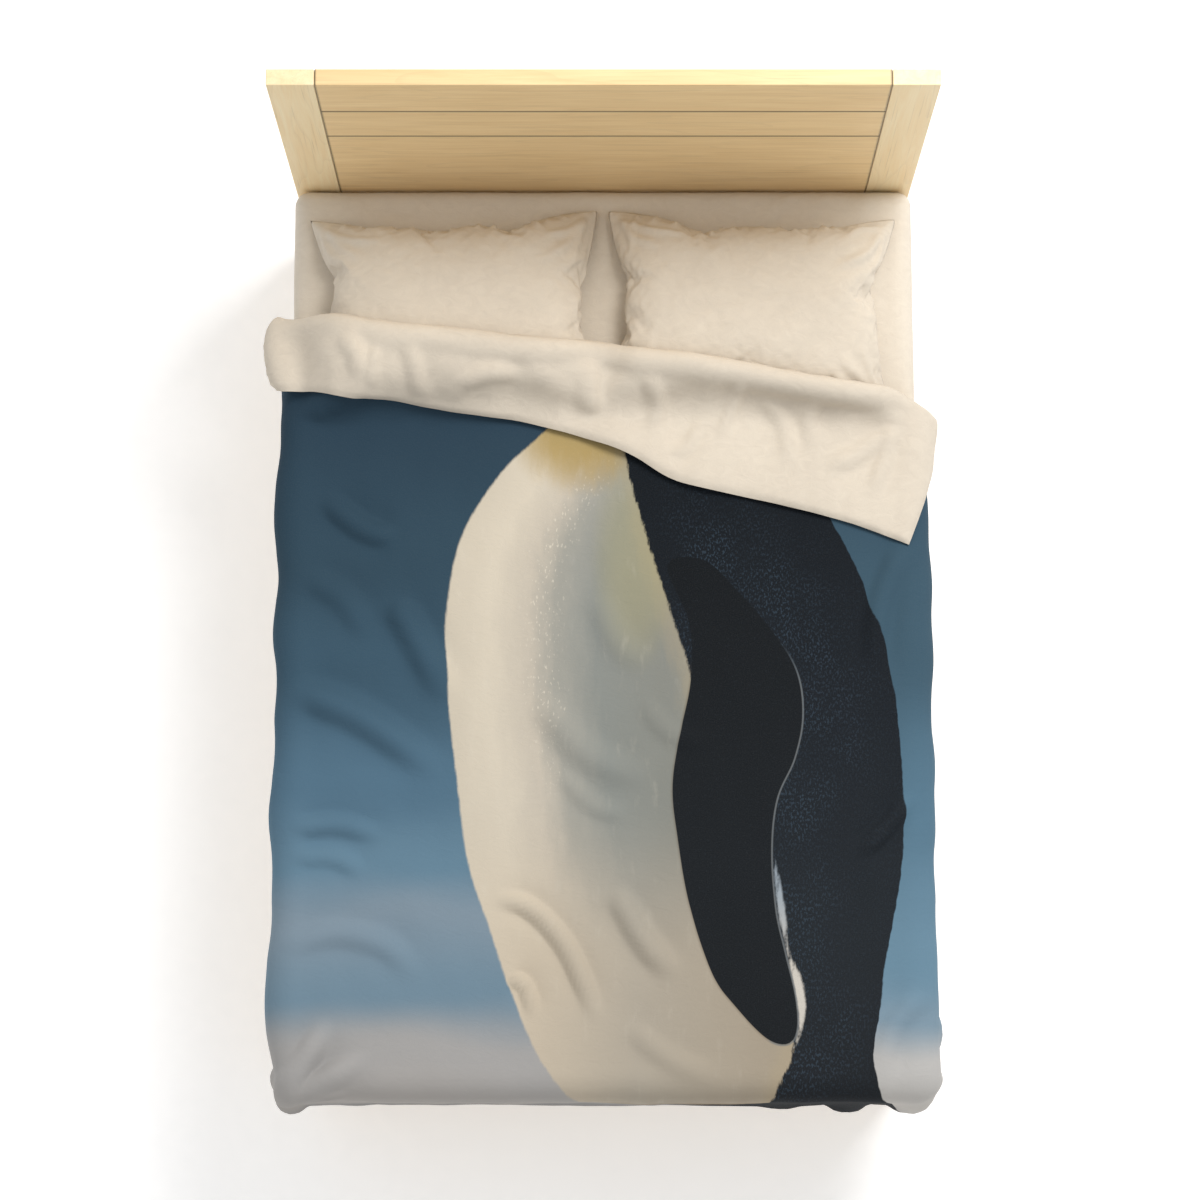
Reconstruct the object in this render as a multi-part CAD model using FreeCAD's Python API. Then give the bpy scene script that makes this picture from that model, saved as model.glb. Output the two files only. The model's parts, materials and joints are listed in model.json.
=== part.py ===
"""A double bed, made up: wooden platform frame with a panelled headboard, mattress with a fitted sheet,
two pillows, and a printed duvet whose top is turned down on a slant.

Row frame in millimetres: +X to the right seen from the foot, +Y from the foot to the head, +Z up.
The origin is on the floor, under the middle of the whole bed's plan box.
Each solid is one real piece, and each node is written to parts/NODE.step.
"""

import FreeCAD, Part  # noqa: E401  (FreeCAD has to be imported before Part)
import math
import os

V = FreeCAD.Vector

# ---- driving dimensions ----------------------------------------------------------------------------
BED_W = 1400.0  # mattress and headboard width
MATTRESS_L = 2000.0
MATTRESS_H = 240.0
PLATFORM_TOP = 300.0  # top of slats, rails and legs
HEAD_TOP = 1230.0
TOTAL_L = 2100.0  # wall side of the headboard to the duvet's foot face
GAP = 0.3  # between pieces of different bodies that rest on each other

BOARD_T = 35.0  # headboard posts and planks
POST_W = 100.0
PLANK_TOP_H = 168.0
PLANK_MID_H = 162.0
PLANK_LOW_H = 420.0
SEAM = 1.5  # gap between neighbouring planks
EDGE_R = 2.0  # softened edges of the boards

RAIL_T = 28.0
RAIL_H = 150.0
RAIL_INSET = 10.0  # rail face behind the mattress side
LEG_W = 60.0
LEDGER_W = 20.0
LEDGER_H = 30.0
SLAT_T = 18.0
SLAT_W = 70.0
SLAT_COUNT = 14
BEAM_W = 40.0
BEAM_H = 90.0
CENTRE_LEG_D = 45.0
GLIDE_H = 8.0
GLIDE_R = 16.0

COVER_T = 4.0  # quilted mattress cover
SHEET_T = 1.0
CORNER_R = 45.0  # mattress corners in plan
BROW_R = 25.0  # mattress top and bottom edges
BASE_FOAM_H = 40.0
COMFORT_FOAM_H = 60.0

PILLOW = (600.0, 430.0, 122.0)
PILLOW_X = 328.0  # pillow centre from the bed's middle line
PILLOW_GAP = 85.0  # headboard face to the pillow's near edge
PILLOW_YAW = 1.8  # degrees, each turned outwards
CASE_T = 1.2

DUVET_T = 24.0
SKIN_T = 1.2
SIDE_DROP = 90.0
FOOT_DROP = 200.0
FOOT_SLACK = 35.0  # the hem stands off the mattress foot
FOLD_ANGLE = 7.6  # degrees between the turn-down fold and the X axis
FOLD_FROM_HEAD = 451.0  # headboard face to the fold's edge on the middle line
FOLD_GAP = 10.0  # between the two layers at the fold
FLAP_LEFT = 106.0  # depth of the turned-down flap at its left and right ends, from the fold's bend
FLAP_RIGHT = 271.0
HALF_W = 757.0  # the flap corners set the whole width
RAMP_L = 320.0  # the duvet climbs onto the pillows over this length
RAMP_RISE = 88.0
BUTTON_R = 7.5
BUTTON_T = 3.0
BUTTON_COUNT = 7

# ---- places that follow from them --------------------------------------------------------------------
Y_WALL = TOTAL_L / 2  # back of the headboard
Y_FACE = Y_WALL - BOARD_T  # its front
MATTRESS_Z = PLATFORM_TOP + GAP
MATTRESS_TOP = MATTRESS_Z + MATTRESS_H
Y_MATTRESS_HEAD = Y_FACE - 5.0
Y_MATTRESS_FOOT = Y_MATTRESS_HEAD - MATTRESS_L
SHEET_TOP = MATTRESS_TOP + SHEET_T
REST_Z = SHEET_TOP + 0.4  # underside of pillows and duvet
RAIL_Z = PLATFORM_TOP - RAIL_H
RAIL_X = BED_W / 2 - RAIL_INSET  # outer faces of rails and foot legs
Y_FRAME_FOOT = Y_MATTRESS_FOOT + 5.0
SLAT_Z = PLATFORM_TOP - SLAT_T


def box(x0, x1, y0, y1, z0, z1):
    """A block between two corners."""
    return Part.makeBox(x1 - x0, y1 - y0, z1 - z0, V(x0, y0, z0))


def softened(shape, radius=EDGE_R):
    """The block with all its edges rounded."""
    return shape.makeFillet(radius, shape.Edges)


def cylinder(radius, length, start, direction):
    return Part.makeCylinder(radius, length, V(*start), V(*direction))


def save(name, shapes):
    """Writes one node: a solid, or a group of separate solids that share a name."""
    shapes = shapes if isinstance(shapes, list) else [shapes]
    solids = [solid for shape in shapes for solid in shape.Solids]
    body = solids[0] if len(solids) == 1 else Part.makeCompound(solids)
    if not body.isValid():
        raise RuntimeError(name + " is not valid")
    body.exportStep("parts/" + name + ".step")
    print("%-24s %3d solid(s) %9.1f cm3" % (name, len(solids), body.Volume / 1000))


# ---- fasteners ---------------------------------------------------------------------------------------
BOLT_R = 4.0
BOLT_HEAD_R = 7.0
BOLT_HEAD_H = 5.0
HOLE_PLAY = 0.1
SCREW_R = 2.0
SCREW_HEAD_R = 4.0
SCREW_L = 32.0
SCREW_SUNK = 0.5  # head below the platform top
SCREW_RIM_H = 0.3  # straight rim of the head
DOWEL_R = 5.0
DOWEL_L = 60.0
RAIL_DOWELS = (50.0, 112.0)  # heights up the lower rail, clear of the bracket bolts


def hex_bolt(start, direction, length):
    """Hex head resting on the plate at start, shank running along direction."""
    d = V(*direction)
    corners = [
        V(BOLT_HEAD_R * math.cos(k * math.pi / 3), BOLT_HEAD_R * math.sin(k * math.pi / 3), 0)
        for k in range(7)
    ]
    head = Part.Face(Part.makePolygon(corners)).extrude(V(0, 0, -BOLT_HEAD_H))
    shank = Part.makeCylinder(BOLT_R, length)
    bolt = head.fuse(shank).removeSplitter()
    bolt.Placement = FreeCAD.Placement(V(*start), FreeCAD.Rotation(V(0, 0, 1), d))
    return bolt


def bolt_hole(start, direction, length):
    back = V(*start) - V(*direction) * 20
    return Part.makeCylinder(BOLT_R + HOLE_PLAY, length + 21, back, V(*direction))


def countersunk_screw(x, y, play=0.0):
    """A wood screw let in just below the platform top; with play it is the hole for it."""
    head_h = SCREW_HEAD_R - SCREW_R
    sunk = PLATFORM_TOP - SCREW_SUNK
    rim_h = SCREW_RIM_H if play == 0.0 else 2 * SCREW_SUNK
    cone = Part.makeCone(SCREW_R + play, SCREW_HEAD_R + play, head_h, V(x, y, sunk - head_h))
    rim = Part.makeCylinder(SCREW_HEAD_R + play, rim_h, V(x, y, sunk))
    shank_h = SCREW_L + play - head_h
    shank = Part.makeCylinder(SCREW_R + play, shank_h, V(x, y, PLATFORM_TOP - SCREW_L - play))
    return cone.fuse([rim, shank]).removeSplitter()


# ---- headboard ----------------------------------------------------------------------------------------
def dowel_places():
    """(height, side) of every dowel between a plank or the lower rail and a post."""
    heights = []
    top = HEAD_TOP
    for plank_h, count in ((PLANK_TOP_H, 2), (PLANK_MID_H, 2), (PLANK_LOW_H, 4)):
        heights += [top - plank_h * (k + 0.5) / count for k in range(count)]
        top -= plank_h
    heights += [RAIL_Z + drop for drop in RAIL_DOWELS]
    return [(z, side) for z in heights for side in (-1, 1)]


def headboard():
    """Two full-height posts, three planks between them and a lower rail, joined by dowels."""
    inner = BED_W / 2 - POST_W
    y_mid = Y_FACE + BOARD_T / 2
    holes, dowels = [], []
    for z, side in dowel_places():
        start = (side * inner - DOWEL_L / 2, y_mid, z)
        dowels.append(cylinder(DOWEL_R, DOWEL_L - 2, (start[0] + 1, y_mid, z), (1, 0, 0)))
        holes.append(cylinder(DOWEL_R + HOLE_PLAY, DOWEL_L, start, (1, 0, 0)))
    drill = Part.makeCompound(holes)
    for name, side in (("headboard_post_left", -1), ("headboard_post_right", 1)):
        x0, x1 = sorted((side * inner, side * BED_W / 2))
        post = softened(box(x0, x1, Y_FACE, Y_WALL, GLIDE_H, HEAD_TOP))
        yield name, post.cut(drill)
    top = HEAD_TOP
    planks = (("top", PLANK_TOP_H), ("middle", PLANK_MID_H), ("lower", PLANK_LOW_H))
    for name, height in planks:
        plank = box(-inner + SEAM / 2, inner - SEAM / 2, Y_FACE, Y_WALL, top - height + SEAM, top)
        yield "headboard_plank_" + name, softened(plank).cut(drill)
        top -= height
    rail = box(-inner, inner, Y_FACE, Y_WALL, RAIL_Z, PLATFORM_TOP)
    yield "headboard_lower_rail", softened(rail).cut(drill)
    yield "headboard_dowels", dowels


# ---- platform -----------------------------------------------------------------------------------------
BRACKET_T = 3.0
BRACKET_H = 80.0
BRACKET_Z = RAIL_Z + 12.0
BRACKET_ARM = 58.0
HANGER_T = 2.5
HANGER_H = 60.0
HANGER_L = 45.0
FLANGE_W = 26.0
CENTRE_LEG_Y = (-330.0, 330.0)


def side_rails():
    for name, side in (("side_rail_left", -1), ("side_rail_right", 1)):
        x0, x1 = sorted((side * RAIL_X, side * (RAIL_X - RAIL_T)))
        yield name, softened(box(x0, x1, Y_FRAME_FOOT + LEG_W, Y_FACE, RAIL_Z, PLATFORM_TOP))


def foot_end():
    for name, side in (("foot_leg_left", -1), ("foot_leg_right", 1)):
        x0, x1 = sorted((side * RAIL_X, side * (RAIL_X - LEG_W)))
        yield name, softened(box(x0, x1, Y_FRAME_FOOT, Y_FRAME_FOOT + LEG_W, GLIDE_H, PLATFORM_TOP))
    half = RAIL_X - LEG_W
    yield "foot_rail", softened(box(-half, half, Y_FRAME_FOOT, Y_FRAME_FOOT + RAIL_T, RAIL_Z, PLATFORM_TOP))


def ledgers():
    """The battens inside the side rails that carry the slat ends."""
    for name, side in (("ledger_left", -1), ("ledger_right", 1)):
        x0, x1 = sorted((side * (RAIL_X - RAIL_T), side * (RAIL_X - RAIL_T - LEDGER_W)))
        y0, y1 = Y_FRAME_FOOT + LEG_W + 15, Y_FACE - 10
        yield name, box(x0, x1, y0, y1, SLAT_Z - LEDGER_H, SLAT_Z)


def centre_beam():
    y0 = Y_FRAME_FOOT + RAIL_T
    return box(-BEAM_W / 2, BEAM_W / 2, y0 + HANGER_T, Y_FACE - HANGER_T, SLAT_Z - BEAM_H, SLAT_Z)


def slat_centres():
    first = Y_FRAME_FOOT + LEG_W + 70
    last = Y_FACE - 70
    return [first + (last - first) * k / (SLAT_COUNT - 1) for k in range(SLAT_COUNT)]


def slat(y):
    half = RAIL_X - RAIL_T - 1.0
    block = box(-half, half, y - SLAT_W / 2, y + SLAT_W / 2, SLAT_Z, PLATFORM_TOP)
    return block.makeFillet(EDGE_R, [e for e in block.Edges if e.Length > 2 * half - 1])


def corner_bracket(side, y_plate, towards):
    """Steel angle between a rail and the post or leg face at y_plate; towards is the rail's side of it."""
    x_rail = side * (RAIL_X - RAIL_T)
    x_in = x_rail - side * BRACKET_T
    x_far = x_rail - side * BRACKET_ARM
    if towards > 0:  # at a foot leg, only as wide as the leg's overlap
        x_far = side * (RAIL_X - LEG_W + 2.0)
    z0, z1 = BRACKET_Z, BRACKET_Z + BRACKET_H
    y_end = y_plate + towards * BRACKET_ARM
    along = box(*sorted((x_rail, x_in)), *sorted((y_plate, y_end)), z0, z1)
    across = box(*sorted((x_rail, x_far)), *sorted((y_plate, y_plate + towards * BRACKET_T)), z0, z1)
    return along.fuse(across).removeSplitter()


def beam_hanger(y_plate, towards):
    """Steel shoe that holds one end of the centre beam, with a flange each side on the cross rail."""
    half = BEAM_W / 2 + HOLE_PLAY
    z0 = SLAT_Z - BEAM_H - HANGER_T
    z1 = z0 + HANGER_H
    y_in = y_plate + towards * HANGER_T
    y_end = y_plate + towards * HANGER_L
    shoe = box(-half - HANGER_T, half + HANGER_T, *sorted((y_in, y_end)), z0, z1)
    shoe = shoe.cut(box(-half, half, *sorted((y_in, y_end)), z0 + HANGER_T, z1))
    plate = box(-half - FLANGE_W, half + FLANGE_W, *sorted((y_plate, y_in)), z0, z1)
    return shoe.fuse(plate).removeSplitter()


def bolt_places():
    """(start, direction, shank length) of every bracket bolt, the start on the bracket's outer face."""
    places = []
    for side in (-1, 1):
        x_in = side * (RAIL_X - RAIL_T - BRACKET_T)
        for y_plate, towards in ((Y_FACE, -1), (Y_FRAME_FOOT + LEG_W, 1)):
            reach = BRACKET_ARM - 18 if towards < 0 else 22
            x_across = side * (RAIL_X - RAIL_T - (reach if towards < 0 else 17))
            for z in (BRACKET_Z + 20, BRACKET_Z + BRACKET_H - 20):
                y_along = y_plate + towards * (BRACKET_ARM - 16)
                places.append(((x_in, y_along, z), (side, 0, 0), 22.0))
                places.append(((x_across, y_plate + towards * BRACKET_T, z), (0, -towards, 0), 30.0))
    for y_plate, towards in ((Y_FACE, -1), (Y_FRAME_FOOT + RAIL_T, 1)):
        for side in (-1, 1):
            x = side * (BEAM_W / 2 + HANGER_T + 12)
            start = (x, y_plate + towards * HANGER_T, SLAT_Z - BEAM_H + HANGER_H / 2)
            places.append((start, (0, -towards, 0), 24.0))
    return places


def centre_legs():
    for name, y in zip(("centre_leg_foot", "centre_leg_head"), CENTRE_LEG_Y):
        yield name, cylinder(CENTRE_LEG_D / 2, SLAT_Z - BEAM_H - GLIDE_H, (0, y, GLIDE_H), (0, 0, 1))


def glides():
    """Nylon glides under the posts, the foot legs and the centre legs."""
    x_post = BED_W / 2 - POST_W / 2
    x_leg = RAIL_X - LEG_W / 2
    y_post = Y_FACE + BOARD_T / 2
    y_leg = Y_FRAME_FOOT + LEG_W / 2
    places = {
        "glide_post_left": (-x_post, y_post),
        "glide_post_right": (x_post, y_post),
        "glide_leg_left": (-x_leg, y_leg),
        "glide_leg_right": (x_leg, y_leg),
        "glide_centre_foot": (0, CENTRE_LEG_Y[0]),
        "glide_centre_head": (0, CENTRE_LEG_Y[1]),
    }
    for name, (x, y) in places.items():
        yield name, cylinder(GLIDE_R, GLIDE_H, (x, y, 0), (0, 0, 1))


def platform():
    """Rails, legs, ledgers, beam, slats, brackets and their fasteners."""
    members = dict(headboard())
    members.update(side_rails())
    members.update(foot_end())
    members.update(ledgers())
    members["centre_beam"] = centre_beam()
    brackets = {}
    for hand, side in (("left", -1), ("right", 1)):
        brackets["bracket_head_" + hand] = corner_bracket(side, Y_FACE, -1)
        brackets["bracket_foot_" + hand] = corner_bracket(side, Y_FRAME_FOOT + LEG_W, 1)
    brackets["beam_hanger_head"] = beam_hanger(Y_FACE, -1)
    brackets["beam_hanger_foot"] = beam_hanger(Y_FRAME_FOOT + RAIL_T, 1)
    drill = Part.makeCompound([bolt_hole(*place) for place in bolt_places()])
    for name in ("headboard_post_left", "headboard_post_right", "headboard_lower_rail",
                 "side_rail_left", "side_rail_right", "foot_leg_left", "foot_leg_right", "foot_rail"):
        members[name] = members[name].cut(drill)
    for name, bracket in brackets.items():
        members[name] = bracket.cut(drill)
    members["bracket_bolts"] = [hex_bolt(*place) for place in bolt_places()]

    x_screw = RAIL_X - RAIL_T - LEDGER_W / 2
    screw_places = [(side * x_screw, y) for y in slat_centres() for side in (-1, 1)]
    screw_holes = Part.makeCompound([countersunk_screw(x, y, HOLE_PLAY) for x, y in screw_places])
    for name in ("ledger_left", "ledger_right"):
        members[name] = members[name].cut(screw_holes)
    for number, y in enumerate(slat_centres(), 1):
        members["slat_%02d" % number] = slat(y).cut(screw_holes)
    members["slat_screws"] = [countersunk_screw(x, y) for x, y in screw_places]
    members.update(centre_legs())
    members.update(glides())
    return members


# ---- mattress and fitted sheet ----------------------------------------------------------------------
def mattress_block(inset):
    """The rounded mattress shape, taken in by inset on every side."""
    half = BED_W / 2 - inset
    block = box(-half, half, Y_MATTRESS_FOOT + inset, Y_MATTRESS_HEAD - inset,
                MATTRESS_Z + inset, MATTRESS_TOP - inset)
    upright = [e for e in block.Edges if abs(e.Length - (MATTRESS_H - 2 * inset)) < 0.1]
    block = block.makeFillet(CORNER_R - inset, upright)
    return block.makeFillet(BROW_R - inset, [e for e in block.Edges if abs(e.BoundBox.ZLength) < 0.1])


def mattress():
    """Quilted cover round a foam base, a pocket-spring layer and a comfort layer."""
    inner = mattress_block(COVER_T)
    z_foam = MATTRESS_Z + COVER_T + BASE_FOAM_H
    z_comfort = MATTRESS_TOP - COVER_T - COMFORT_FOAM_H
    reach = BED_W
    pieces = {"mattress_cover": mattress_block(0.0).cut(inner)}
    pieces["mattress_base_foam"] = inner.common(box(-reach, reach, -TOTAL_L, TOTAL_L, 0, z_foam))
    pieces["mattress_spring_core"] = inner.common(box(-reach, reach, -TOTAL_L, TOTAL_L, z_foam, z_comfort))
    pieces["mattress_comfort_foam"] = inner.common(box(-reach, reach, -TOTAL_L, TOTAL_L, z_comfort, HEAD_TOP))
    keep = box(-reach, reach, -TOTAL_L, TOTAL_L, MATTRESS_Z + 2, HEAD_TOP)
    sheet = mattress_block(-SHEET_T).cut(mattress_block(0.0)).common(keep)
    pieces["fitted_sheet"] = sheet
    hem = box(-reach, reach, -TOTAL_L, TOTAL_L, MATTRESS_Z + BROW_R + 2, MATTRESS_Z + BROW_R + 12)
    band = mattress_block(-SHEET_T - 0.8).cut(mattress_block(-SHEET_T)).common(hem)
    pieces["sheet_elastic"] = band
    return pieces


# ---- duvet --------------------------------------------------------------------------------------------
# A layer lies between two depths through the duvet, 0 at the plain reverse side and DUVET_T at the
# printed face. Beyond the fold it turns over, so the reverse ends up on top.
SIDE_X = BED_W / 2 + SHEET_T + 1.0
FOOT_Y = Y_MATTRESS_FOOT - SHEET_T - FOOT_SLACK
FOLD_R = FOLD_GAP / 2 + DUVET_T
FOLD_Y = Y_FACE - FOLD_FROM_HEAD - FOLD_R / math.cos(math.radians(FOLD_ANGLE))
TAN_FOLD = math.tan(math.radians(FOLD_ANGLE))
FAR = 3000.0
SIN_FOLD, COS_FOLD = math.sin(math.radians(FOLD_ANGLE)), math.cos(math.radians(FOLD_ANGLE))
FLAP_END_RIGHT = (HALF_W - FOLD_R * SIN_FOLD) / COS_FOLD  # the fold's ends, measured along it
FLAP_END_LEFT = (HALF_W - FLAP_LEFT * SIN_FOLD) / COS_FOLD - FLAP_LEFT * TAN_FOLD
FOLD_PLACE = FreeCAD.Placement(
    V(0, FOLD_Y, 0), FreeCAD.Rotation(V(0, 0, 1), -FOLD_ANGLE)
)  # carries (along the fold, towards the head, up) into the row frame


def along_fold(profile, reach=FAR):
    """A solid with this (towards the head, up) outline, run along the fold."""
    wire = Part.makePolygon([V(-reach, r, z) for r, z in profile + profile[:1]])
    solid = Part.Face(wire).extrude(V(2 * reach, 0, 0))
    solid.Placement = FOLD_PLACE
    return solid


def under_duvet(depth, inset=0.0):
    """Everything under the surface at this depth, as far as the fold."""
    top = REST_Z + depth
    low = MATTRESS_TOP - FOOT_DROP + inset
    profile = [(-FAR, low), (-FAR, top), (-RAMP_L, top), (0, top + RAMP_RISE), (0, low)]
    plan = box(-SIDE_X - depth, SIDE_X + depth, FOOT_Y - depth, FAR, 0, FAR)
    body = along_fold(profile).common(plan)
    sides = box(-FAR, FAR, FOOT_Y - inset, FAR, 0, MATTRESS_TOP - SIDE_DROP + inset)
    return body.cut(sides)


def draped_layer(d0, d1, inset):
    profile = [(-FAR, -1), (-FAR, REST_Z + d0), (-RAMP_L, REST_Z + d0), (0, REST_Z + RAMP_RISE + d0),
               (FAR, REST_Z + RAMP_RISE + d0), (FAR, -1)]
    inside = along_fold(profile).common(box(-SIDE_X - d0, SIDE_X + d0, FOOT_Y - d0, FAR, -1, FAR))
    layer = under_duvet(d1, inset).cut(inside)
    if inset:  # keep the filling inside the seams where the fold's round doesn't cover the end
        height = REST_Z + RAMP_RISE
        layer = layer.cut(along_fold([(-inset, 0), (-inset, height + d0), (1, height + d0), (1, 0)]))
        beyond = Part.makeBox(FAR, inset + 1, FAR, V(-FAR - FLAP_END_LEFT + inset, -inset, 0))
        beyond.Placement = FOLD_PLACE.multiply(beyond.Placement)
        layer = layer.cut(beyond)
    return layer


def fold_layer(d0, d1, inset):
    """The half round where the duvet turns over."""
    outer, inner = FOLD_R - d0, FOLD_R - d1
    centre = REST_Z + RAMP_RISE + FOLD_R
    length = FLAP_END_LEFT + FLAP_END_RIGHT - 2 * inset
    start = V(-FLAP_END_LEFT + inset, 0, centre)
    ring = Part.makeCylinder(outer, length, start, V(1, 0, 0))
    ring = ring.cut(Part.makeCylinder(inner, length, start, V(1, 0, 0)))
    ring = ring.common(box(-FAR, FAR, 0, FAR, 0, FAR))
    ring.Placement = FOLD_PLACE.multiply(ring.Placement)
    return ring


def flap_layer(d0, d1, inset):
    """The turned-down flap, lying on the draped part."""
    plan = [
        (-FLAP_END_LEFT + inset, 0),
        (FLAP_END_RIGHT - inset, 0),
        (FLAP_END_RIGHT - inset - (FLAP_RIGHT - inset) * TAN_FOLD, -FLAP_RIGHT + inset),
        (-FLAP_END_LEFT + inset - (FLAP_LEFT - inset) * TAN_FOLD, -FLAP_LEFT + inset),
    ]
    wire = Part.makePolygon([V(s, r, 0) for s, r in plan + plan[:1]])
    prism = Part.Face(wire).extrude(V(0, 0, FAR))
    prism.Placement = FOLD_PLACE
    low, high = (REST_Z + 2 * FOLD_R - d for d in (d1, d0))
    profile = [(0, low + RAMP_RISE), (0, high + RAMP_RISE), (-RAMP_L, high), (-RAMP_L, low)]
    return along_fold(profile).common(prism)


def duvet_layer(d0, d1, inset=0.0):
    parts = [draped_layer(d0, d1, inset), fold_layer(d0, d1, inset), flap_layer(d0, d1, inset)]
    return parts[0].fuse(parts[1:]).removeSplitter()


def duvet():
    """Filled insert inside a cover of two panels, printed face and plain reverse, sewn at the edges."""
    insert = duvet_layer(SKIN_T, DUVET_T - SKIN_T, inset=SKIN_T)
    reverse = duvet_layer(0.0, DUVET_T / 2).cut(insert)
    face = duvet_layer(DUVET_T / 2, DUVET_T).cut(insert)
    z = MATTRESS_TOP - FOOT_DROP + 25.0
    step = 1.6 * SIDE_X / (BUTTON_COUNT - 1)
    buttons = [
        cylinder(BUTTON_R, BUTTON_T, ((k - (BUTTON_COUNT - 1) / 2) * step, FOOT_Y, z), (0, 1, 0))
        for k in range(BUTTON_COUNT)
    ]
    return {
        "duvet_insert": insert,
        "duvet_cover_reverse": reverse,
        "duvet_cover_face": face,
        "duvet_buttons": buttons,
    }


# ---- pillows ------------------------------------------------------------------------------------------
PILLOW_CORNER_R = 70.0
PILLOW_EDGE_R = 55.0
DUVET_CLEAR = 0.8


def pillow_block(side, inset):
    """A plump pillow lying flat, taken in by inset on every side."""
    length, width, height = (d - 2 * inset for d in PILLOW)
    block = Part.makeBox(length, width, height, V(-length / 2, -width / 2, inset))
    upright = [e for e in block.Edges if abs(e.Length - height) < 0.1]
    block = block.makeFillet(PILLOW_CORNER_R - inset, upright)
    block = block.makeFillet(PILLOW_EDGE_R - inset, [e for e in block.Edges if e.BoundBox.ZLength < 0.1])
    y = Y_FACE - PILLOW_GAP - PILLOW[1] / 2
    block.Placement = FreeCAD.Placement(
        V(side * PILLOW_X, y, REST_Z), FreeCAD.Rotation(V(0, 0, 1), -side * PILLOW_YAW)
    )
    return block


def pressed_by_duvet(clear):
    """The space that the duvet's turned-down end takes from the pillows."""
    z = REST_Z - clear
    reach = FOLD_R + clear
    profile = [(-FAR, z), (-RAMP_L, z), (0, z + RAMP_RISE), (reach, z + RAMP_RISE), (reach, FAR), (-FAR, FAR)]
    return along_fold(profile)


def pillow(side):
    """A filled insert in a case, pressed down where the duvet lies on it."""
    outer = pillow_block(side, 0.0).cut(pressed_by_duvet(DUVET_CLEAR))
    insert = pillow_block(side, CASE_T).cut(pressed_by_duvet(DUVET_CLEAR + CASE_T))
    return outer.cut(insert), insert


def main():
    os.makedirs("parts", exist_ok=True)
    nodes = platform()
    nodes.update(mattress())
    nodes.update(duvet())
    for hand, side in (("left", -1), ("right", 1)):
        case, insert = pillow(side)
        nodes["pillowcase_" + hand] = case
        nodes["pillow_insert_" + hand] = insert
    for name, shape in nodes.items():
        save(name, shape)
    print(len(nodes), "nodes")


main()
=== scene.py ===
"""The looks of a made-up double bed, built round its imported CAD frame.

The wooden frame, brackets and fasteners are the CAD nodes with wood and metal materials. The bedding is
built here: a quilted mattress, a fitted sheet, two pillows inflated as cloth, and a duvet that starts as a
flat rectangle folded over at the top and settles on the bed in a small cloth solver of its own. The duvet's
printed panel shows a standing penguin, drawn from a few smooth outlines and coloured by nodes.
The frame is in metres: +X to the right seen from the foot, +Y to the head, +Z up, floor at 0.
"""

import json
import math

import bmesh
import bpy
import numpy as np
from mathutils import Matrix, Vector, noise

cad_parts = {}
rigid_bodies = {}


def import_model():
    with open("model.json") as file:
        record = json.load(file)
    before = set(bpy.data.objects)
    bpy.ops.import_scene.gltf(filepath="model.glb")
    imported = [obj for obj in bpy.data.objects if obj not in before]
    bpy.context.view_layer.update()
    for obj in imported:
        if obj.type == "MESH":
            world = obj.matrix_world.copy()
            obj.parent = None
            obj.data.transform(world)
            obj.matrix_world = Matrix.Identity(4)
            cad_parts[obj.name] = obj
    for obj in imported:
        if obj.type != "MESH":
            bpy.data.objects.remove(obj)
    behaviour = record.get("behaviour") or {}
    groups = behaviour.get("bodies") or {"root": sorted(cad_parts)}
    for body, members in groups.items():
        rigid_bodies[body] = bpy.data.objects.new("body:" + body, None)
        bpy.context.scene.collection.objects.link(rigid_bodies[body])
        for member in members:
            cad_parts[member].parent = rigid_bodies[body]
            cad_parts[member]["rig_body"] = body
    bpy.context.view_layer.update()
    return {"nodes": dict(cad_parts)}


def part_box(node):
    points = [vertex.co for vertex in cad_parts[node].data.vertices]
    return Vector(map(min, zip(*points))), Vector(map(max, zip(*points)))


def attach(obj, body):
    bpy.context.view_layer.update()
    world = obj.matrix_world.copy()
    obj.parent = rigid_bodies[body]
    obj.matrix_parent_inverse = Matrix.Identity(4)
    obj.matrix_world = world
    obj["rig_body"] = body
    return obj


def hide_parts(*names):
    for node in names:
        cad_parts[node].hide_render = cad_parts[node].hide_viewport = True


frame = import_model()
nodes = frame["nodes"]
scene = bpy.context.scene

# ---- places taken from the frame -------------------------
MATTRESS_LO, MATTRESS_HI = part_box("mattress_cover")
SHEET_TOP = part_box("fitted_sheet")[1].z
HEAD_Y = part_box("headboard_post_left")[0].y  # the headboard's front face
FOOT_EDGE = MATTRESS_LO.y
HALF_MATTRESS = MATTRESS_HI.x
SHEET_ROUND = 0.033  # radius of the made-up mattress's edges
MM = 0.001


# ---- small helpers ---------------------------------------
def mesh_object(name, verts, faces):
    mesh = bpy.data.meshes.new(name)
    mesh.from_pydata([tuple(v) for v in verts], [], faces)
    mesh.validate()
    mesh.update()
    mesh.shade_smooth()
    obj = bpy.data.objects.new(name, mesh)
    scene.collection.objects.link(obj)
    return obj


def read_vertices(mesh, key):
    values = np.empty(len(mesh.vertices) * 3)
    mesh.vertices.foreach_get(key, values)
    return values.reshape(-1, 3)


def points_of(obj):
    return read_vertices(obj.data, "co")


def evaluated_points(obj):
    """The points of the object with its modifiers."""
    return read_vertices(obj.evaluated_get(bpy.context.evaluated_depsgraph_get()).to_mesh(), "co")


def set_points(obj, points):
    obj.data.vertices.foreach_set("co", np.asarray(points, float).ravel())
    obj.data.update()


def normals_of(obj):
    return read_vertices(obj.data, "normal")


def attribute(obj, name, values):
    layer = obj.data.attributes.new(name, "FLOAT", "POINT")
    layer.data.foreach_set("value", np.asarray(values, np.float32).ravel())


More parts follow.
